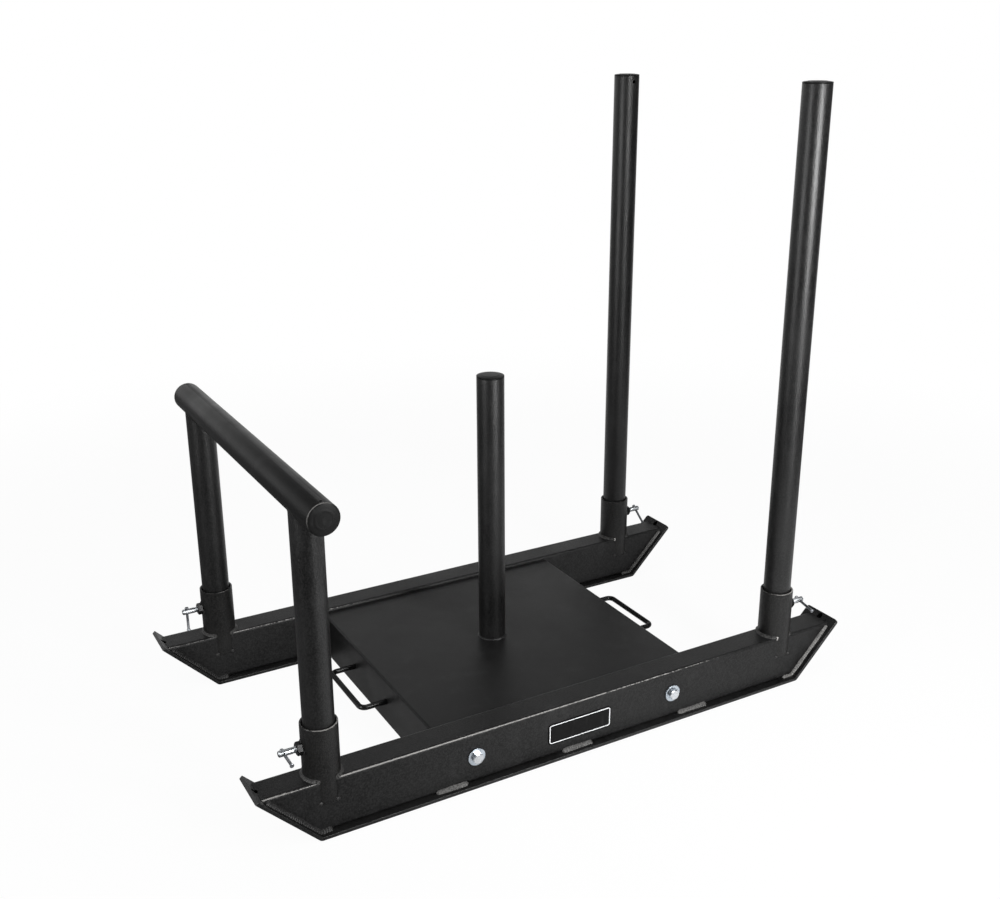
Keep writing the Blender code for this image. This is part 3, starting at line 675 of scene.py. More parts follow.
def make_upright(side):
    """Tube whose top follows the cross tube: z = tube's middle - sqrt(R^2 - (r cos a)^2)."""
    angle = around(72)
    reach = POST_RADIUS + GAP
    tops = [CROSS_Z - np.sqrt(reach**2 - (r * np.cos(angle)) ** 2) for r in (POST_RADIUS, POST_BORE)]
    flat = np.full_like(angle, SLEEVE_BOTTOM)
    profile = ([POST_RADIUS, POST_RADIUS, POST_BORE, POST_BORE], [tops[0], flat, flat, tops[1]])
    points = turn(profile, 72, (HANDLE_X, MIDDLE_Y[side], 0))
    node = "handle_upright_" + side
    return make_piece("upright_tube_" + side, points, POWDER, "push_handle", [node])


def make_cross_tube():
    """Level tube. Its two end faces carry a painted highlight on their upper side towards -X, and a small
    hole is near each end.
    """
    profile = tube_profile(POST_RADIUS, POST_BORE, -CROSS_HALF, CROSS_HALF, 0.0006)
    points = turn(profile, 80, (HANDLE_X, 0, CROSS_Z), (0, 1, 0), (1, 0, 0))
    at_end = np.abs(profile[1]) > CROSS_HALF - 0.0005
    # Painted highlight on the upper -X side of each end face
    facing = np.clip(1.2 * np.cos(around(80) - math.radians(233)), 0, 1)
    pale_mark = [at_end[:, None] * facing]
    tube = make_piece("push_tube", points, TUBE_POWDER, "push_handle", ["cross_tube"], pale_mark=pale_mark)
    holes = []
    for sign in SIDES.values():
        y = sign * (CROSS_HALF - 0.007)
        holes.append(((HANDLE_X, y, CROSS_Z + 0.01), (HANDLE_X, y, CROSS_Z + 0.04), 0.0024))
    drill(tube, holes)
    return tube


for side in SIDES:
    make_upright(side)
make_cross_tube()
print("push handle over", 2 * CROSS_HALF, "m")

# %% [markdown]
# ## Plastic caps
# Each tube end has a push-in cap. Its profile runs over a low dome, round a small shoulder and down to the
# tube's edge, then in and down the hollow plug that grips the bore.

# %% Caps
def make_cap(name, node, body, radius, edge, origin, along=(0, 0, 1)):
    """Turned profile; the dome's height is its rise times the cosine of the angle over its radius."""
    rise = 0.0025
    shoulder = 0.0003
    plug = POST_BORE - GAP
    hollow = plug - 0.0015
    round_over = np.radians(np.linspace(0, 90, 24))
    dome_radius = radius * np.sin(round_over)
    ridge = 0.0003 * np.exp(-(((dome_radius / radius - 0.58) / 0.07) ** 2))
    dome_height = GAP + edge + (rise - shoulder) * np.cos(round_over) + ridge
    tail_radius = [radius, radius - 0.0002, plug, plug, hollow, hollow, 0]
    tail_height = [GAP + shoulder, GAP, GAP, -0.006, -0.006, GAP, GAP]
    profile = (np.concatenate([dome_radius, tail_radius]), np.concatenate([dome_height, tail_height]))
    points = turn(profile, 64, origin, along)
    return make_piece(name, points, PLASTIC, body, [node], sharp=50, **OPEN_ENDS)


for side, sign in SIDES.items():
    name = "tall_post_" + side
    node = "tall_post_cap_" + side
    make_cap("post_cap_" + side, node, name, POST_RADIUS, 0.002, (TALL_X, MIDDLE_Y[side], TALL_END))
    origin = (HANDLE_X, sign * CROSS_HALF, CROSS_Z)
    node = "cross_tube_cap_" + side
    make_cap("push_cap_" + side, node, "push_handle", POST_RADIUS - 0.0014, 0.0005, origin, (0, sign, 0))
make_cap("short_post_cap", "weight_post_cap", "frame", POST_RADIUS, 0.002, (WEIGHT_X, 0, WEIGHT_END))
print("five caps")

# %% [markdown]
# ## The weight tray
# One sheet is folded down on all four sides. Seen from above it is a rounded rectangle that grows as it goes
# over the fold and then runs straight down, so a few loops make the whole of it. Solidify gives the sheet its
# 3 mm on the inside.

# %% Tray
TRAY_X = (-0.253, 0.246)
TRAY_HALF_Y = 0.2322
TRAY_FLOOR = 0.006
TRAY_FOLD = 0.004
GRAB_Y = 0.0115
GRAB_Z = 0.047
GRAB_HALF = 0.06925
GRAB_RADIUS = 0.00475


def make_tray():
    """Loops: inset from the outline by fold (1 - sin t), and below the top by fold (1 - cos t)."""
    over = np.radians(np.linspace(0, 90, 8))
    inset = np.concatenate([TRAY_FOLD * (1 - np.sin(over)), [0]])
    z = np.concatenate([TRAY_TOP - TRAY_FOLD * (1 - np.cos(over)), [TRAY_FLOOR]])
    loops = []
    for step, height in zip(inset, z):
        width = TRAY_X[1] - TRAY_X[0] - 2 * step
        loop = rounded_box(width, 2 * (TRAY_HALF_Y - step), max(0.0055 - step, 0.0012), 6)
        loops.append(np.column_stack([loop[:, 0] + sum(TRAY_X) / 2, loop[:, 1], np.full(len(loop), height)]))
    grid = np.stack(loops)
    tray = make_piece("tray_sheet", grid, TRAY_POWDER, "frame", ["weight_tray"], **OPEN_ENDS)
    shape = bmesh.new()
    shape.from_mesh(tray.data)
    rim = [edge for edge in shape.edges if edge.is_boundary and edge.verts[0].co.z > TRAY_TOP - 1e-6]
    bmesh.ops.contextual_create(shape, geom=rim)
    bmesh.ops.recalc_face_normals(shape, faces=shape.faces)
    top = max(shape.faces, key=lambda face: face.calc_center_median().z)
    if top.normal.z < 0:
        bmesh.ops.reverse_faces(shape, faces=shape.faces)
    shape.to_mesh(tray.data)
    shape.free()
    sheet = tray.modifiers.new("Sheet", "SOLIDIFY")
    sheet.thickness = TRAY_SHEET
    sheet.offset = -1
    sheet.use_even_offset = True
    holes = [((x, -0.3, BOLT_Z), (x, 0.3, BOLT_Z), BOLT_HOLE) for x in BOLT_X]
    for sign in SIDES.values():
        y = GRAB_Y + sign * GRAB_HALF
        holes.append(((TRAY_X[0] - 0.02, y, GRAB_Z), (TRAY_X[1] + 0.02, y, GRAB_Z), GRAB_RADIUS + 0.0009))
    holes.append(((WEIGHT_X, 0, 0.07), (WEIGHT_X, 0, 0.1), POST_RADIUS + GAP))
    drill(tray, holes)
    tray.data.shade_smooth()
    tray.data.set_sharp_from_angle(angle=math.radians(SHARP))
    keep_flats_flat(tray)
    return tray


print("tray faces:", len(make_tray().data.polygons))

# %% [markdown]
# ## Grab handles
# Each is one rod, bent twice, whose legs go through the tray's end. A circle is carried along the rod's
# middle line, and the bends are quarter circles.

# %% Grab handles
def grab_path(outward, flange, reach):
    """Leg, quarter turn of 11 mm, grip, quarter turn, leg, at one height."""
    bend = 0.011
    turn_in = np.radians(np.linspace(-90, 0, 12))
    turn_out = np.radians(np.linspace(0, 90, 12))
    middle = reach - bend
    near = np.column_stack([middle + bend * np.cos(turn_in), -GRAB_HALF + bend + bend * np.sin(turn_in)])
    far = np.column_stack([middle + bend * np.cos(turn_out), GRAB_HALF - bend + bend * np.sin(turn_out)])
    leg = np.array([[-0.015, GRAB_HALF], [0.0, GRAB_HALF]])
    flat = np.concatenate([leg * (1, -1), near, far, leg[::-1]])
    x = flange + outward * flat[:, 0]
    return np.column_stack([x, GRAB_Y + flat[:, 1], np.full(len(flat), GRAB_Z)])


for end, reach in (("handle", 0.0465), ("tall", 0.064)):
    outward = ENDS[end][1]
    path = grab_path(outward, TRAY_X[0] if outward < 0 else TRAY_X[1], reach)
    rod = ring_along(path, GRAB_RADIUS, 32)
    make_piece("grab_rod_" + end, rod, GLOSS, "frame", ["grab_handle_" + end], loop_rows=False, sharp=60)
print("two grab handles")

# %% [markdown]
# ## Clamps
# A hex nut welded to each sleeve carries a screw, and a bar slides through the screw's outer end. A hexagon
# is a circle whose radius changes with the angle. The rounded-off corners of a nut come from a cone: where
# the hexagon reaches past the cone's circle, its height drops. The thread is a triangle wave that climbs one
# pitch for each turn.

# %% Hexagons and threads
HEX_SIDES = 72
THREAD_RADIUS = 0.005
THREAD_PITCH = 0.0015


def hex_rows(across_flats, seat, top, bore=0.0):
    """Rows of a nut or a bolt head along its axis, with the cone's drop at the outer face.

    The hexagon's radius is half its width over the cosine of the angle from the nearest flat's middle."""
    from_flat = np.radians(np.linspace(0, 360, HEX_SIDES, endpoint=False) % 60 - 30)
    rim = across_flats / 2 / np.cos(from_flat)
    circle = across_flats / 2 * 0.94
    drop = (rim - circle) * math.tan(math.radians(28))
    ring = np.ones(HEX_SIDES)
    radius = [bore * ring, circle * ring, rim, rim, circle * ring, bore * ring]
    height = [seat * ring, seat * ring, seat * ring, top - drop, top * ring, top * ring]
    return radius, height


def thread_rows(depth, start, end, sides):
    """Radius = outside - depth times a triangle wave of (height / pitch - angle / whole turn).

    Within a pitch of either end it is up to 0.2 mm less."""
    height = np.arange(start, end, THREAD_PITCH / 6)
    phase = (height[:, None] / THREAD_PITCH - np.linspace(0, 1, sides, endpoint=False)) % 1.0
    wave = np.clip(np.abs(2 * phase - 1) * 1.5 - 0.25, 0, 1)
    ends = np.clip(np.minimum(height - start, end - height) / THREAD_PITCH, 0, 1)[:, None]
    radius = THREAD_RADIUS - depth * (1 - wave) - (1 - ends) * 0.0002
    return radius, np.broadcast_to(height[:, None], phase.shape)


def threaded_rod(start, end, depth, chamfer, sides, plain=0.0):
    """Screw's rows: point, chamfer, thread, a plain length if there is one, chamfer, point."""
    ring = np.ones(sides)
    thread_end = end - chamfer - plain
    tip = THREAD_RADIUS - chamfer
    radius, height = thread_rows(depth, start + chamfer, thread_end, sides)
    last_radius = np.outer([THREAD_RADIUS, THREAD_RADIUS, tip, 0], ring)
    last_height = np.outer([thread_end + 0.0008, end - chamfer, end, end], ring)
    radius = np.concatenate([np.outer([0, tip], ring), radius, last_radius])
    height = np.concatenate([np.outer([start, start], ring), height, last_height])
    return radius, height


# %% Clamp nuts, screws and bars
NUT_START = SLEEVE_RADIUS + GAP
NUT_LENGTH = 0.0093
NUT_SHOWN = 0.008
SCREW_START = POST_RADIUS + GAP
SCREW_END = NUT_START + NUT_LENGTH + 0.026
BAR_INSET = 0.008
BAR_RADIUS = 0.0023
DROOP = {"handle_near": 0.0, "handle_far": 90.0, "tall_near": 12.0, "tall_far": 37.0}


def bar_profile():
    """Bar from its short end to its long end: a round knob, the plain bar, and a short cone that stops it."""
    short = -(THREAD_RADIUS + GAP + 0.0032)
    long = short + 0.046
    head = 0.0035
    turn_over = np.radians(np.linspace(0, 180, 13))
    knob_radius = BAR_RADIUS + (head - BAR_RADIUS) * np.sin(turn_over)
    knob_height = short + 0.0016 * (1 - np.cos(turn_over))
    flare = np.linspace(0, 1, 9)
    flare_radius = BAR_RADIUS + (head - BAR_RADIUS) * flare**0.8
    flare_height = long - 0.0032 + 0.0027 * flare
    radius = np.concatenate([[0, 0.0021], knob_radius[1:], flare_radius, [head - 0.0003, 0.0022, 0]])
    last_height = [long - 0.0001, long, long - 0.0004]
    height = np.concatenate([[short, short], knob_height[1:], flare_height, last_height])
    return radius, height


def make_clamp(end, side):
    """Nut on its sleeve, the screw through it, and the bar across the screw. Droop is the bar's angle."""
    x, outward = ENDS[end]
    name = f"{end}_{side}"
    where = np.array([x, MIDDLE_Y[side], CLAMP_Z])
    out = (outward, 0, 0)
    rows = hex_rows(0.0185, NUT_START, NUT_START + NUT_SHOWN, SCREW_HOLE)
    nut = turn(rows, HEX_SIDES, where, out, (0, 1, 0))
    make_piece("sleeve_nut_" + name, nut, NUT_PAINT, "frame", ["clamp_nut_" + name], sharp=25)
    droop = math.radians(DROOP[name])
    long_side = (0, -math.cos(droop), -math.sin(droop))
    rod = threaded_rod(SCREW_START, SCREW_END, depth=0.0006, chamfer=0.0012, sides=36, plain=0.021)
    screw = turn(rod, 36, where, out, long_side)
    body = "clamp_screw_" + name
    screw = make_piece("screw_rod_" + name, screw, SCREW_ZINC, body, [body], **OPEN_ENDS)
    bar_middle = where + np.array(out) * (SCREW_END - BAR_INSET)
    reach = np.array(long_side) * 0.008
    drill(screw, [(bar_middle - reach, bar_middle + reach, BAR_RADIUS + GAP)], 32)
    bar = turn(bar_profile(), 32, bar_middle, long_side, out)
    body = "tommy_bar_" + name
    make_piece("slide_bar_" + name, bar, DARKENED_ZINC, body, [body], sharp=50, **OPEN_ENDS)


for end, side in CORNERS:
    make_clamp(end, side)
print("four clamps, screws end", SCREW_END, "m from the sleeves' axes")

# %% [markdown]
# ## Bolts
# Four bolts hold the tray to the runners. Each has a wide washer under its head outside, and a small washer
# and a nut inside the tray. Heads and nuts use the same hexagon as the clamps.

# %% Bolts, washers and nuts
WASHER = 0.002
HEX_WIDTH = 0.017


def make_bolt(side, number, x):
    """Stations run outwards along the bolt from the middle of the runner."""
    sign = SIDES[side]
    name = f"{side}_{number}"
    origin = (x, MIDDLE_Y[side], BOLT_Z)
    out = (0, sign, 0)
    face = RUNNER_WIDTH / 2
    seat = face + WASHER + 2 * GAP
    inner = -face - GAP - TRAY_SHEET
    nut_seat = inner - WASHER - 2 * GAP
    head = turn(hex_rows(HEX_WIDTH, seat, seat + 0.0064), HEX_SIDES, origin, out)
    make_piece("bolt_head_" + name, head, ZINC, "frame", ["tray_bolt_" + name], sharp=25, **OPEN_ENDS)
    rod = threaded_rod(nut_seat - 0.011, seat + 0.001, depth=0.0008, chamfer=0.0008, sides=24)
    make_piece("bolt_shank_" + name, turn(rod, 24, origin, out), ZINC, "frame", **OPEN_ENDS)
    wide = ("wide_washer_", "outer_washer_", 0.015, face + GAP)
    small = ("small_washer_", "inner_washer_", 0.010, inner - GAP - WASHER)
    for made, node, size, start in (wide, small):
        ring = turn(tube_profile(size, BOLT_HOLE, start, start + WASHER, 0.0004), 64, origin, out)
        make_piece(made + name, ring, WASHER_ZINC, "frame", [node + name])
    nut = turn(hex_rows(HEX_WIDTH, -nut_seat, -nut_seat + 0.008, BOLT_HOLE), HEX_SIDES, origin, (0, -sign, 0))
    make_piece("bolt_nut_" + name, nut, ZINC, "frame", ["tray_nut_" + name], sharp=25)


for side in SIDES:
    for number, x in enumerate(BOLT_X, 1):
        make_bolt(side, number, x)
print("four bolts at x", BOLT_X)

# %% [markdown]
# ## The small plate on the near runner
# A thin plate with a raised border sits in the middle of the runner's side. It is left bare. Loops that step
# inwards give the edge, the border and the sunk middle, and a value on each loop says which of them it is.

# %% Bare plate
def badge_paint():
    """Black plate, with pale metal where the border value is 1."""
    paint, tree, shader = new_paint("bare_plate_black")
    border = add(tree, "ShaderNodeAttribute", attribute_name="pale_mark").outputs["Fac"]
    patch = place_group(tree, "slow_patches", Scale=40.0)
    scuff = place_group(tree, "fine_scuffs", Scale=120.0, Amount=0.3)
    dark = mix_colour(tree, patch["Patch"], grey(0.002), grey(0.005))
    dark = mix_colour(tree, scuff["Scuff"], dark, grey(0.04))
    colour = mix_colour(tree, share_of_way(tree, border, 0.45, 0.55), dark, (0.8, 0.81, 0.82))
    fill_shader(tree, shader, colour, patch, (0.3, 0.42), 0.12)
    return paint


def make_badge():
    """Each loop is the outline stepped in by some distance, at its own height above the tube."""
    steps = [0.0, 0.0, 0.0003, 0.0017, 0.0018, 0.0033, 0.0034, 0.0045]
    rise = [0.0, 0.0008, 0.001, 0.001, 0.001, 0.001, 0.0008, 0.0008]
    border = [0, 0, 0, 0, 1, 1, 0, 0]
    loops = []
    for step, up in zip(steps, rise):
        loop = rounded_box(0.123 - 2 * step, 0.038 - 2 * step, 0.006 - step, 8)
        loops.append(np.column_stack([loop, np.full(len(loop), up)]))
    face = -(RUNNER_Y + RUNNER_WIDTH / 2 + GAP)
    points = place(np.stack(loops), (-0.0035, face, 0.046), (0, -1, 0), (1, 0, 0))
    pale_mark = [np.array(border, float)[:, None]]
    make_piece("bare_badge", points, badge_paint(), "frame", ["badge_plate"], loop_rows=False, pale_mark=pale_mark)


make_badge()
print("bare plate on the near runner")

# %% [markdown]
# ## Welds
# Every joint of the frame is welded under the paint. A weld in a corner is a fillet: its section is a swollen
# triangle between the two walls, and its size goes gently up and down with each frozen drop. A tack is one
# round drop. Long seams are held by short stitches.

# %% Beads, fillets and tacks
def resample(values, at, even):
    """Straight-line values at evenly spaced distances along a seam, for each of the three axes."""
    return np.stack([np.interp(even, at, values[:, axis]) for axis in range(3)], axis=-1)


def fillet(path, first, second, leg, seed, pitch=0.0034):
    """Weld in a corner. `first` and `second` point from the seam along its two walls.

    At angle t between the walls the face is leg / (cos t + sin t) away, swollen by 0.12 sin 2t. The leg
    swells with each frozen drop, 0.88 + 0.12 |sin(pi s / pitch)|, wanders slowly, and ends round."""
    path = np.asarray(path, float)
    at = np.concatenate([[0], np.cumsum(np.linalg.norm(np.diff(path, axis=0), axis=1))])
    even = np.linspace(0, at[-1], max(12, int(at[-1] / 0.0006)))
    first = resample(np.broadcast_to(first, path.shape), at, even)
    second = resample(np.broadcast_to(second, path.shape), at, even)
    to_end = np.minimum(even, at[-1] - even)
    taper = np.sqrt(1 - np.clip(1 - to_end / leg, 0, 1) ** 2)
    drops = 0.88 + 0.12 * np.abs(np.sin(np.pi * even / pitch + seed))
    wander = 1 + 0.08 * np.sin(even / 0.009 + 2.1 * seed)
    size = np.maximum(leg * taper * drops * wander, leg * 0.03)[:, None]
    t = np.radians(np.linspace(0, 90, 7))
    face = size / (np.cos(t) + np.sin(t)) * (1 + 0.12 * np.sin(2 * t))
    root = np.full((len(even), 1), -0.0004)
    along_first = np.hstack([root, face * np.cos(t)])[..., None]
    along_second = np.hstack([root, face * np.sin(t)])[..., None]
    return resample(path, at, even)[:, None] + along_first * first[:, None] + along_second * second[:, None]


def tack(centre, outward, radius, seed):
    """Round drop on a wall: a low dome of height 0.5 r cos t, whose rim wavers three times round."""
    t = np.radians(np.linspace(0.5, 90, 7))
    rim = radius * (1 + 0.07 * np.sin(3 * around(20) + seed))
    rows = np.vstack([np.sin(t)[:, None] * rim, 0.9 * rim])
    heights = np.append(0.5 * radius * np.cos(t), -0.0006)
    return turn((rows, heights), 20, centre, outward, (0, 0, 1))


def arc_seam(centre, radius, start, end, z, leg, seed):
    """Fillet round an upright tube on a level face, angles in degrees: the walls run outwards and up."""
    angle = np.radians(np.linspace(start, end, 90))
    outwards = np.column_stack([np.cos(angle), np.sin(angle), np.zeros(90)])
    path = np.array([*centre, z]) + radius * outwards
    return fillet(path, outwards, (0, 0, 1), leg, seed)


def end_seam(outward, face, y, seed):
    """Fillet between a runner's side and its skid: down the slope, and 20 mm along the bottom."""
    wall = y + face * RUNNER_WIDTH / 2
    z = np.linspace(RUNNER_TOP - 0.0045, RUNNER_BOTTOM + 0.002, 30)
    slope = np.column_stack([outward * half_length(z), np.full(30, wall), z])
    flat = [(outward * (BOTTOM_HALF - step), wall, RUNNER_BOTTOM) for step in (0.002, 0.012, 0.021)]
    inwards = np.array([-outward * math.sin(SLOPE), 0, math.cos(SLOPE)])
    first = np.concatenate([np.repeat([inwards], 30, axis=0), np.repeat([(0, 0, 1)], 3, axis=0)])
    leg = 0.0052 if outward < 0 else 0.0043
    return fillet(np.concatenate([slope, flat]), first, (0, face, 0), leg, seed, pitch=0.0042)


def make_welds(name, seams, body, pale_mark=None):
    """Join seams and drops into one painted piece."""
    make_piece(name, seams, WELD_POWDER, body, loop_rows=False, sharp=60, pale_mark=pale_mark)


HALF_ARC = 63
STITCHES = ((-0.271, -0.214), (-0.038, 0.022), (0.201, 0.264))


def runner_welds(side):
    """All welds of one runner: round the sleeves, at their strips' feet, at the ends, and along the bottom.

    Each goes with its pale mark: thin, rubbed paint on the beads, and more of it on the ones at the tall
    posts' end, where it paints a highlight on the seams down the slopes."""
    y = MIDDLE_Y[side]
    welds = []
    for number, (x, _) in enumerate(ENDS.values()):
        for middle in (0, 180):
            arc = (middle - HALF_ARC, middle + HALF_ARC)
            seam = arc_seam((x, y), SLEEVE_RADIUS, *arc, RUNNER_TOP, 0.0042, number + middle)
            welds.append((seam, 0.16))
            for turned in (-HALF_ARC, HALF_ARC):
                a = math.radians(middle + turned)
                beside = x + (SLEEVE_RADIUS + 0.0016) * math.cos(a)
                blob = (beside, y + SLEEVE_RADIUS * math.sin(a), RUNNER_TOP)
                pale_mark = 1.1 if number == 1 and middle == 180 and turned > 0 else 0.22
                welds.append((tack(blob, (math.cos(a), math.sin(a), 1.6), 0.0036, middle + turned), pale_mark))
        for face in (-1, 1):
            wall = y + face * RUNNER_WIDTH / 2
            for edge in (-1, 1):
                foot = (x + edge * 0.0136, wall, SLEEVE_BOTTOM + 0.0008)
                welds.append((tack(foot, (0, face, 0), 0.0036, number + edge + face), 0.12))
            line = [(x - 0.011, wall, SLEEVE_BOTTOM), (x + 0.011, wall, SLEEVE_BOTTOM)]
            welds.append((fillet(line, (0, 0, -1), (0, face, 0), 0.0012, number), 0.0))
    for outward in (-1, 1):
        for face in (-1, 1):
            # Painted highlight: the slope seams at the tall end are paler, most on the near runner
            pale_mark = 0.1 if outward < 0 else 0.37 if side == "near" else 0.27
            welds.append((end_seam(outward, face, y, outward + 2 * face), pale_mark))
    for face in (-1, 1):
        wall = y + face * RUNNER_WIDTH / 2
        for number, (start, end) in enumerate(STITCHES):
            line = [(start, wall, RUNNER_BOTTOM), (end, wall, RUNNER_BOTTOM)]
            welds.append((fillet(line, (0, 0, 1), (0, face, 0), 0.0056, number + face, pitch=0.0045), 0.3))
    return welds


for side in SIDES:
    welds, values = zip(*runner_welds(side))
    pale_mark = [np.array([[value]]) for value in values]
    make_welds("runner_welds_" + side, list(welds), "frame", pale_mark)
    print("welds on the", side, "runner:", len(welds))

# %% Welds of the posts, nuts and push handle
def saddle_seam(sign):
    """Fillet where an upright meets the cross tube: z = middle - sqrt(R^2 - (r cos a)^2), a full turn.

    One wall runs down the upright. The other follows the cross tube: outwards, less its part along the tube's
    normal, so it dies out at the two sides, where the tubes only touch."""
    angle = np.radians(np.linspace(0, 372, 180))
    offset = POST_RADIUS * np.cos(angle)
    drop = np.sqrt(POST_RADIUS**2 - (0.995 * offset) ** 2)
    path = np.column_stack([HANDLE_X + offset, sign * RUNNER_Y + POST_RADIUS * np.sin(angle), CROSS_Z - drop])
    outwards = np.column_stack([np.cos(angle), np.sin(angle), np.zeros(180)])
    normal = np.column_stack([offset, np.zeros(180), -drop]) / POST_RADIUS
    over_tube = outwards - (outwards * normal).sum(axis=1, keepdims=True) * normal
    down = np.abs(np.sin(angle))[:, None] * (0, 0, -1)
    return fillet(path, over_tube, down, 0.0045, sign, pitch=0.004)


saddles = [saddle_seam(sign) for sign in SIDES.values()]
make_welds("push_handle_welds", saddles, "push_handle")
NUT_EDGE = 0.0095
made = [arc_seam((WEIGHT_X, 0), POST_RADIUS, 0, 372, TRAY_TOP, 0.0024, 3)]
for end, side in CORNERS:
    x, outward = ENDS[end]
    for turned in (80, 205, 325):
        a = math.radians(turned)
        aside = NUT_EDGE * math.cos(a)
        wall = x + outward * math.sqrt(SLEEVE_RADIUS**2 - aside**2)
        drop_at = (wall, MIDDLE_Y[side] + aside, CLAMP_Z + NUT_EDGE * math.sin(a))
        made.append(tack(drop_at, (outward, 0, 0), 0.004, a))
make_welds("frame_welds", made, "frame")
print("welds on posts and nuts:", len(made) + len(saddles))

# %% [markdown]
# ## Holes at the runners' ends
# A hole is drilled through the top of each runner end, half in the tube and half in the skid's lip. Its
# inside would lie in shade, so a cup of near-black matte paint sits in it, a little below both surfaces:
# painted shade.

# %% Insides of the end holes
def make_hole_shade_cup(end, side):
    """Cup, radius 4.9 mm: its rim keeps under the tube's top and the lip, its bottom over the lip's back."""
    outward = ENDS[end][1]
    radii = (0, 0.0044, 0.0044, 0.0049, 0.0049, 0)
    levels = ("floor", "floor", "rim", "rim", "back", "back")
    heights = []
    for radius, level in zip(radii, levels):
        past = END_HOLE_OUTSET + outward * radius * np.cos(around(40))
        rim = RUNNER_TOP + np.maximum(past, 0) * math.tan(SLOPE) - 0.0006
        back = np.maximum(RUNNER_TOP - 0.009, RUNNER_TOP + past * math.tan(SLOPE) - 0.0078)
        heights.append({"floor": back + 0.0004, "rim": rim, "back": back}[level])
    points = turn((radii, heights), 40, (outward * END_HOLE_X, MIDDLE_Y[side], 0))
    make_piece(f"hole_shade_cup_{end}_{side}", points, HOLE_SHADE_PAINT, "frame", **OPEN_ENDS)


for end, side in CORNERS:
    make_hole_shade_cup(end, side)
print("four end holes")

# %% [markdown]
# ## Floor, light and camera
# The sled stands on a white floor before a white backdrop, in a dim studio, so that black paint stays black
# and its highlights stand out. The Light Path node makes the floor nearly white to the camera, so that it
# keeps a faint shadow without any extra light on the sled. Seen from above, an upright post mirrors what
# stands low around it. A tall lamp on the left and a tall narrow one in front draw the two soft lines down
# each post, and a small one brightens the top of the near tall post. A strip lights the upper edges, and a
# wide lamp above fills in.

# %% Floor and room
def smooth_step(tree, value, start, end, low=0.0, high=1.0):
    """Value from low to high while the input goes from start to end, level at both ends."""
    inputs = {"Value": value, "From Min": start, "From Max": end, "To Min": low, "To Max": high}
    return add(tree, "ShaderNodeMapRange", inputs, interpolation_type="SMOOTHSTEP").outputs["Result"]


def make_floor():
    """White floor with a faint shadow.

    Gloss sees mostly its true shading within about 1 m, and past that white behind the sled and dim in front
    of it. To the left, where X goes from 0 to -0.65, what gloss sees fades to a painted shade that only
    reflections show."""
    paint = bpy.data.materials.new("floor_white")
    paint.use_nodes = True
    tree = paint.node_tree
    shader = tree.nodes["Principled BSDF"]
    shader.inputs["Base Color"].default_value = (0.8, 0.8, 0.8, 1)
    shader.inputs["Roughness"].default_value = 0.9
    shader.inputs["Specular IOR Level"].default_value = 0.1
    light_path = add(tree, "ShaderNodeLightPath").outputs
    camera_ray = light_path["Is Camera Ray"]
    gloss_ray = light_path["Is Glossy Ray"]
    where = add(tree, "ShaderNodeTexCoord").outputs["Object"]
    far = add(tree, "ShaderNodeVectorMath", {0: where}, operation="LENGTH").outputs["Value"]
    parts = add(tree, "ShaderNodeSeparateXYZ", {"Vector": where}).outputs
    by_camera = combine(tree, "MULTIPLY", camera_ray, smooth_step(tree, far, 1.2, 2.6, 0.95, 1.0))
    by_gloss = combine(tree, "MULTIPLY", gloss_ray, smooth_step(tree, far, 0.9, 1.7, 0.2, 1.0))
    close_by = smooth_step(tree, far, 1.0, 1.6, 1.0, 0.0)
    white = combine(tree, "MAXIMUM", close_by, smooth_step(tree, parts["Y"], 0.0, 0.7))
    white = combine(tree, "MAXIMUM", white, camera_ray)
    tint = mix_colour(tree, white, (0.12, 0.12, 0.122), grey(1))
    glow = add(tree, "ShaderNodeEmission", {"Color": tint, "Strength": 1.0}).outputs["Emission"]
    share = combine(tree, "MAXIMUM", by_camera, by_gloss)
    seen = add(tree, "ShaderNodeMixShader", {0: share, 1: shader.outputs["BSDF"], 2: glow}).outputs["Shader"]
    # Painted shade seen only in reflections: to the left of the sled, gloss sees the floor near-black
    painted_gloss_shade = combine(tree, "MULTIPLY", gloss_ray, smooth_step(tree, parts["X"], -0.65, 0.0, 0.88, 0.0))
    dark = {"Color": (0.05, 0.05, 0.052, 1), "Strength": 1.0}
    dim = add(tree, "ShaderNodeEmission", dark).outputs["Emission"]
    last = add(tree, "ShaderNodeMixShader", {0: painted_gloss_shade, 1: seen, 2: dim}).outputs["Shader"]
    tree.links.new(last, tree.nodes["Material Output"].inputs["Surface"])
    corners = np.array([(-1, -1, 0), (1, -1, 0), (1, 1, 0), (-1, 1, 0)]) * 12.0 - (0, 0, 0.0002)
    mesh = new_mesh("floor", corners, [(0, 1, 2, 3)])
    mesh.materials.append(paint)
    put_in_scene("floor", mesh)


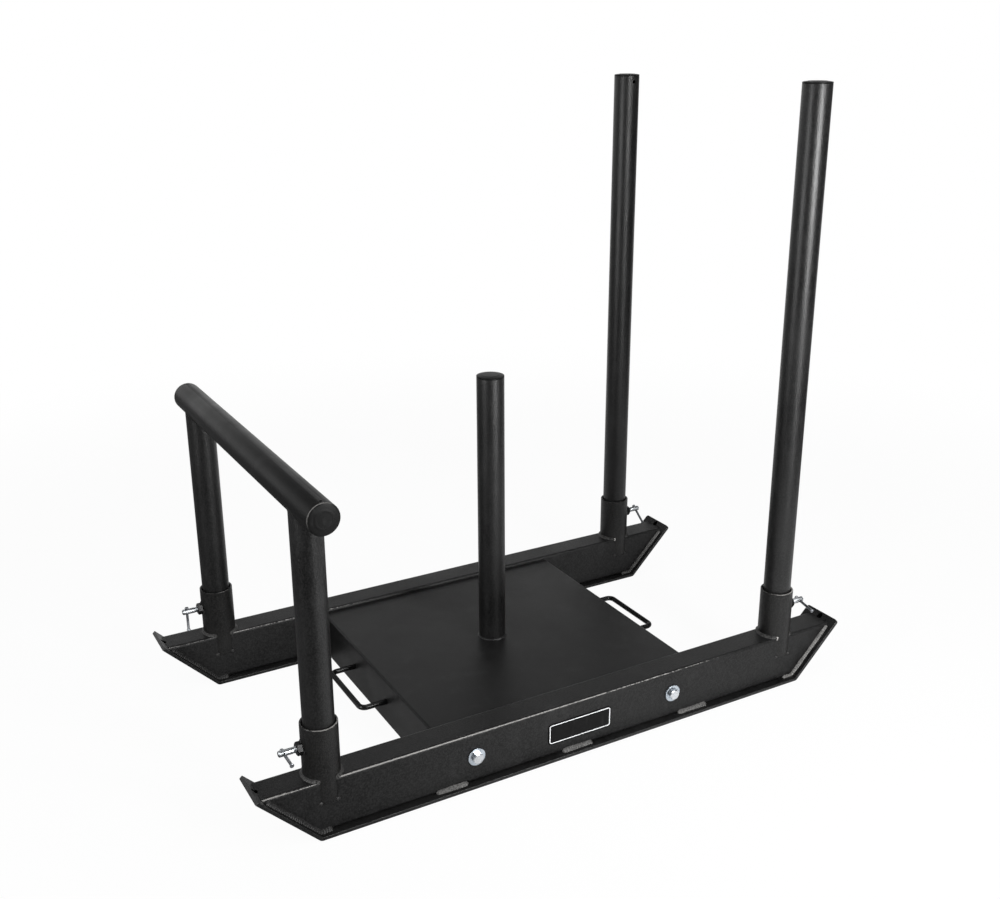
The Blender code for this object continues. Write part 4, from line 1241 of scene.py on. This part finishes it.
def make_room():
    """White to the camera. Gloss and glass see white low behind the sled, and dim walls elsewhere."""
    world = bpy.data.worlds.new("white_room")
    bpy.context.scene.world = world
    world.use_nodes = True
    tree = world.node_tree
    light_path = add(tree, "ShaderNodeLightPath").outputs
    where = add(tree, "ShaderNodeTexCoord").outputs["Generated"]
    parts = add(tree, "ShaderNodeSeparateXYZ", {"Vector": where}).outputs
    low = smooth_step(tree, parts["Z"], 0.34, 0.52, 1.0, 0.0)
    behind = smooth_step(tree, parts["Y"], 0.25, 0.6)
    walls = mix_colour(tree, combine(tree, "MULTIPLY", low, behind), (0.05, 0.05, 0.052), grey(1))
    mirrored = combine(tree, "MAXIMUM", light_path["Is Glossy Ray"], light_path["Is Transmission Ray"])
    colour = mix_colour(tree, mirrored, (0.22, 0.22, 0.225), walls)
    colour = mix_colour(tree, light_path["Is Camera Ray"], colour, grey(1))
    background = tree.nodes["Background"]
    tree.links.new(colour, background.inputs["Color"])
    background.inputs["Strength"].default_value = 1.0


make_floor()
make_room()
print("white floor and room")

# %% Lamps
def make_lamp(name, place_at, target, width, height, watts):
    """Rectangular area lamp that faces its target."""
    light = bpy.data.lights.new(name, "AREA")
    light.shape = "RECTANGLE"
    light.size = width
    light.size_y = height
    light.energy = watts
    lamp = put_in_scene(name, light)
    lamp.location = place_at
    lamp.visible_camera = False
    lamp.rotation_mode = "QUATERNION"
    lamp.rotation_quaternion = (Vector(target) - Vector(place_at)).to_track_quat("-Z", "Y")


make_lamp("left", (-2.1, -0.5, 1.05), (0.4, 0, 0.85), 0.8, 1.5, 28)
make_lamp("right", (0.38, -2.0, 0.9), (0.43, -0.26, 0.8), 0.4, 1.5, 34)
make_lamp("right_high", (0.404, -1.16, 1.03), (0.43, -0.26, 1.0), 0.25, 0.3, 8)
make_lamp("strip", (1.15, -1.5, 2.1), (0, -0.2, 0.1), 1.5, 0.4, 8)
make_lamp("top", (0.3, 0.4, 3.0), (0, 0, 0), 1.6, 1.6, 12)
print("five lamps")

# %% Camera
CAMERA_PLACE = (-0.946, -1.6946, 1.1221)
AZIMUTH, ELEVATION, ROLL = (math.radians(a) for a in (-29.336, 19.224, -0.258))
back = Vector((
    math.sin(AZIMUTH) * math.cos(ELEVATION),
    -math.cos(AZIMUTH) * math.cos(ELEVATION),
    math.sin(ELEVATION),
))
level = Vector((math.cos(AZIMUTH), math.sin(AZIMUTH), 0))
upright = back.cross(level)
right = math.cos(ROLL) * level + math.sin(ROLL) * upright
up = math.cos(ROLL) * upright - math.sin(ROLL) * level
lens = bpy.data.cameras.new("camera")
lens.lens = 42.23
lens.sensor_width = 36
lens.sensor_fit = "HORIZONTAL"
camera = put_in_scene("camera", lens)
camera.matrix_world = Matrix.Translation(CAMERA_PLACE) @ Matrix((right, up, back)).transposed().to_4x4()
bpy.context.scene.camera = camera
bpy.context.scene.view_settings.view_transform = "Standard"
print("camera at", CAMERA_PLACE)
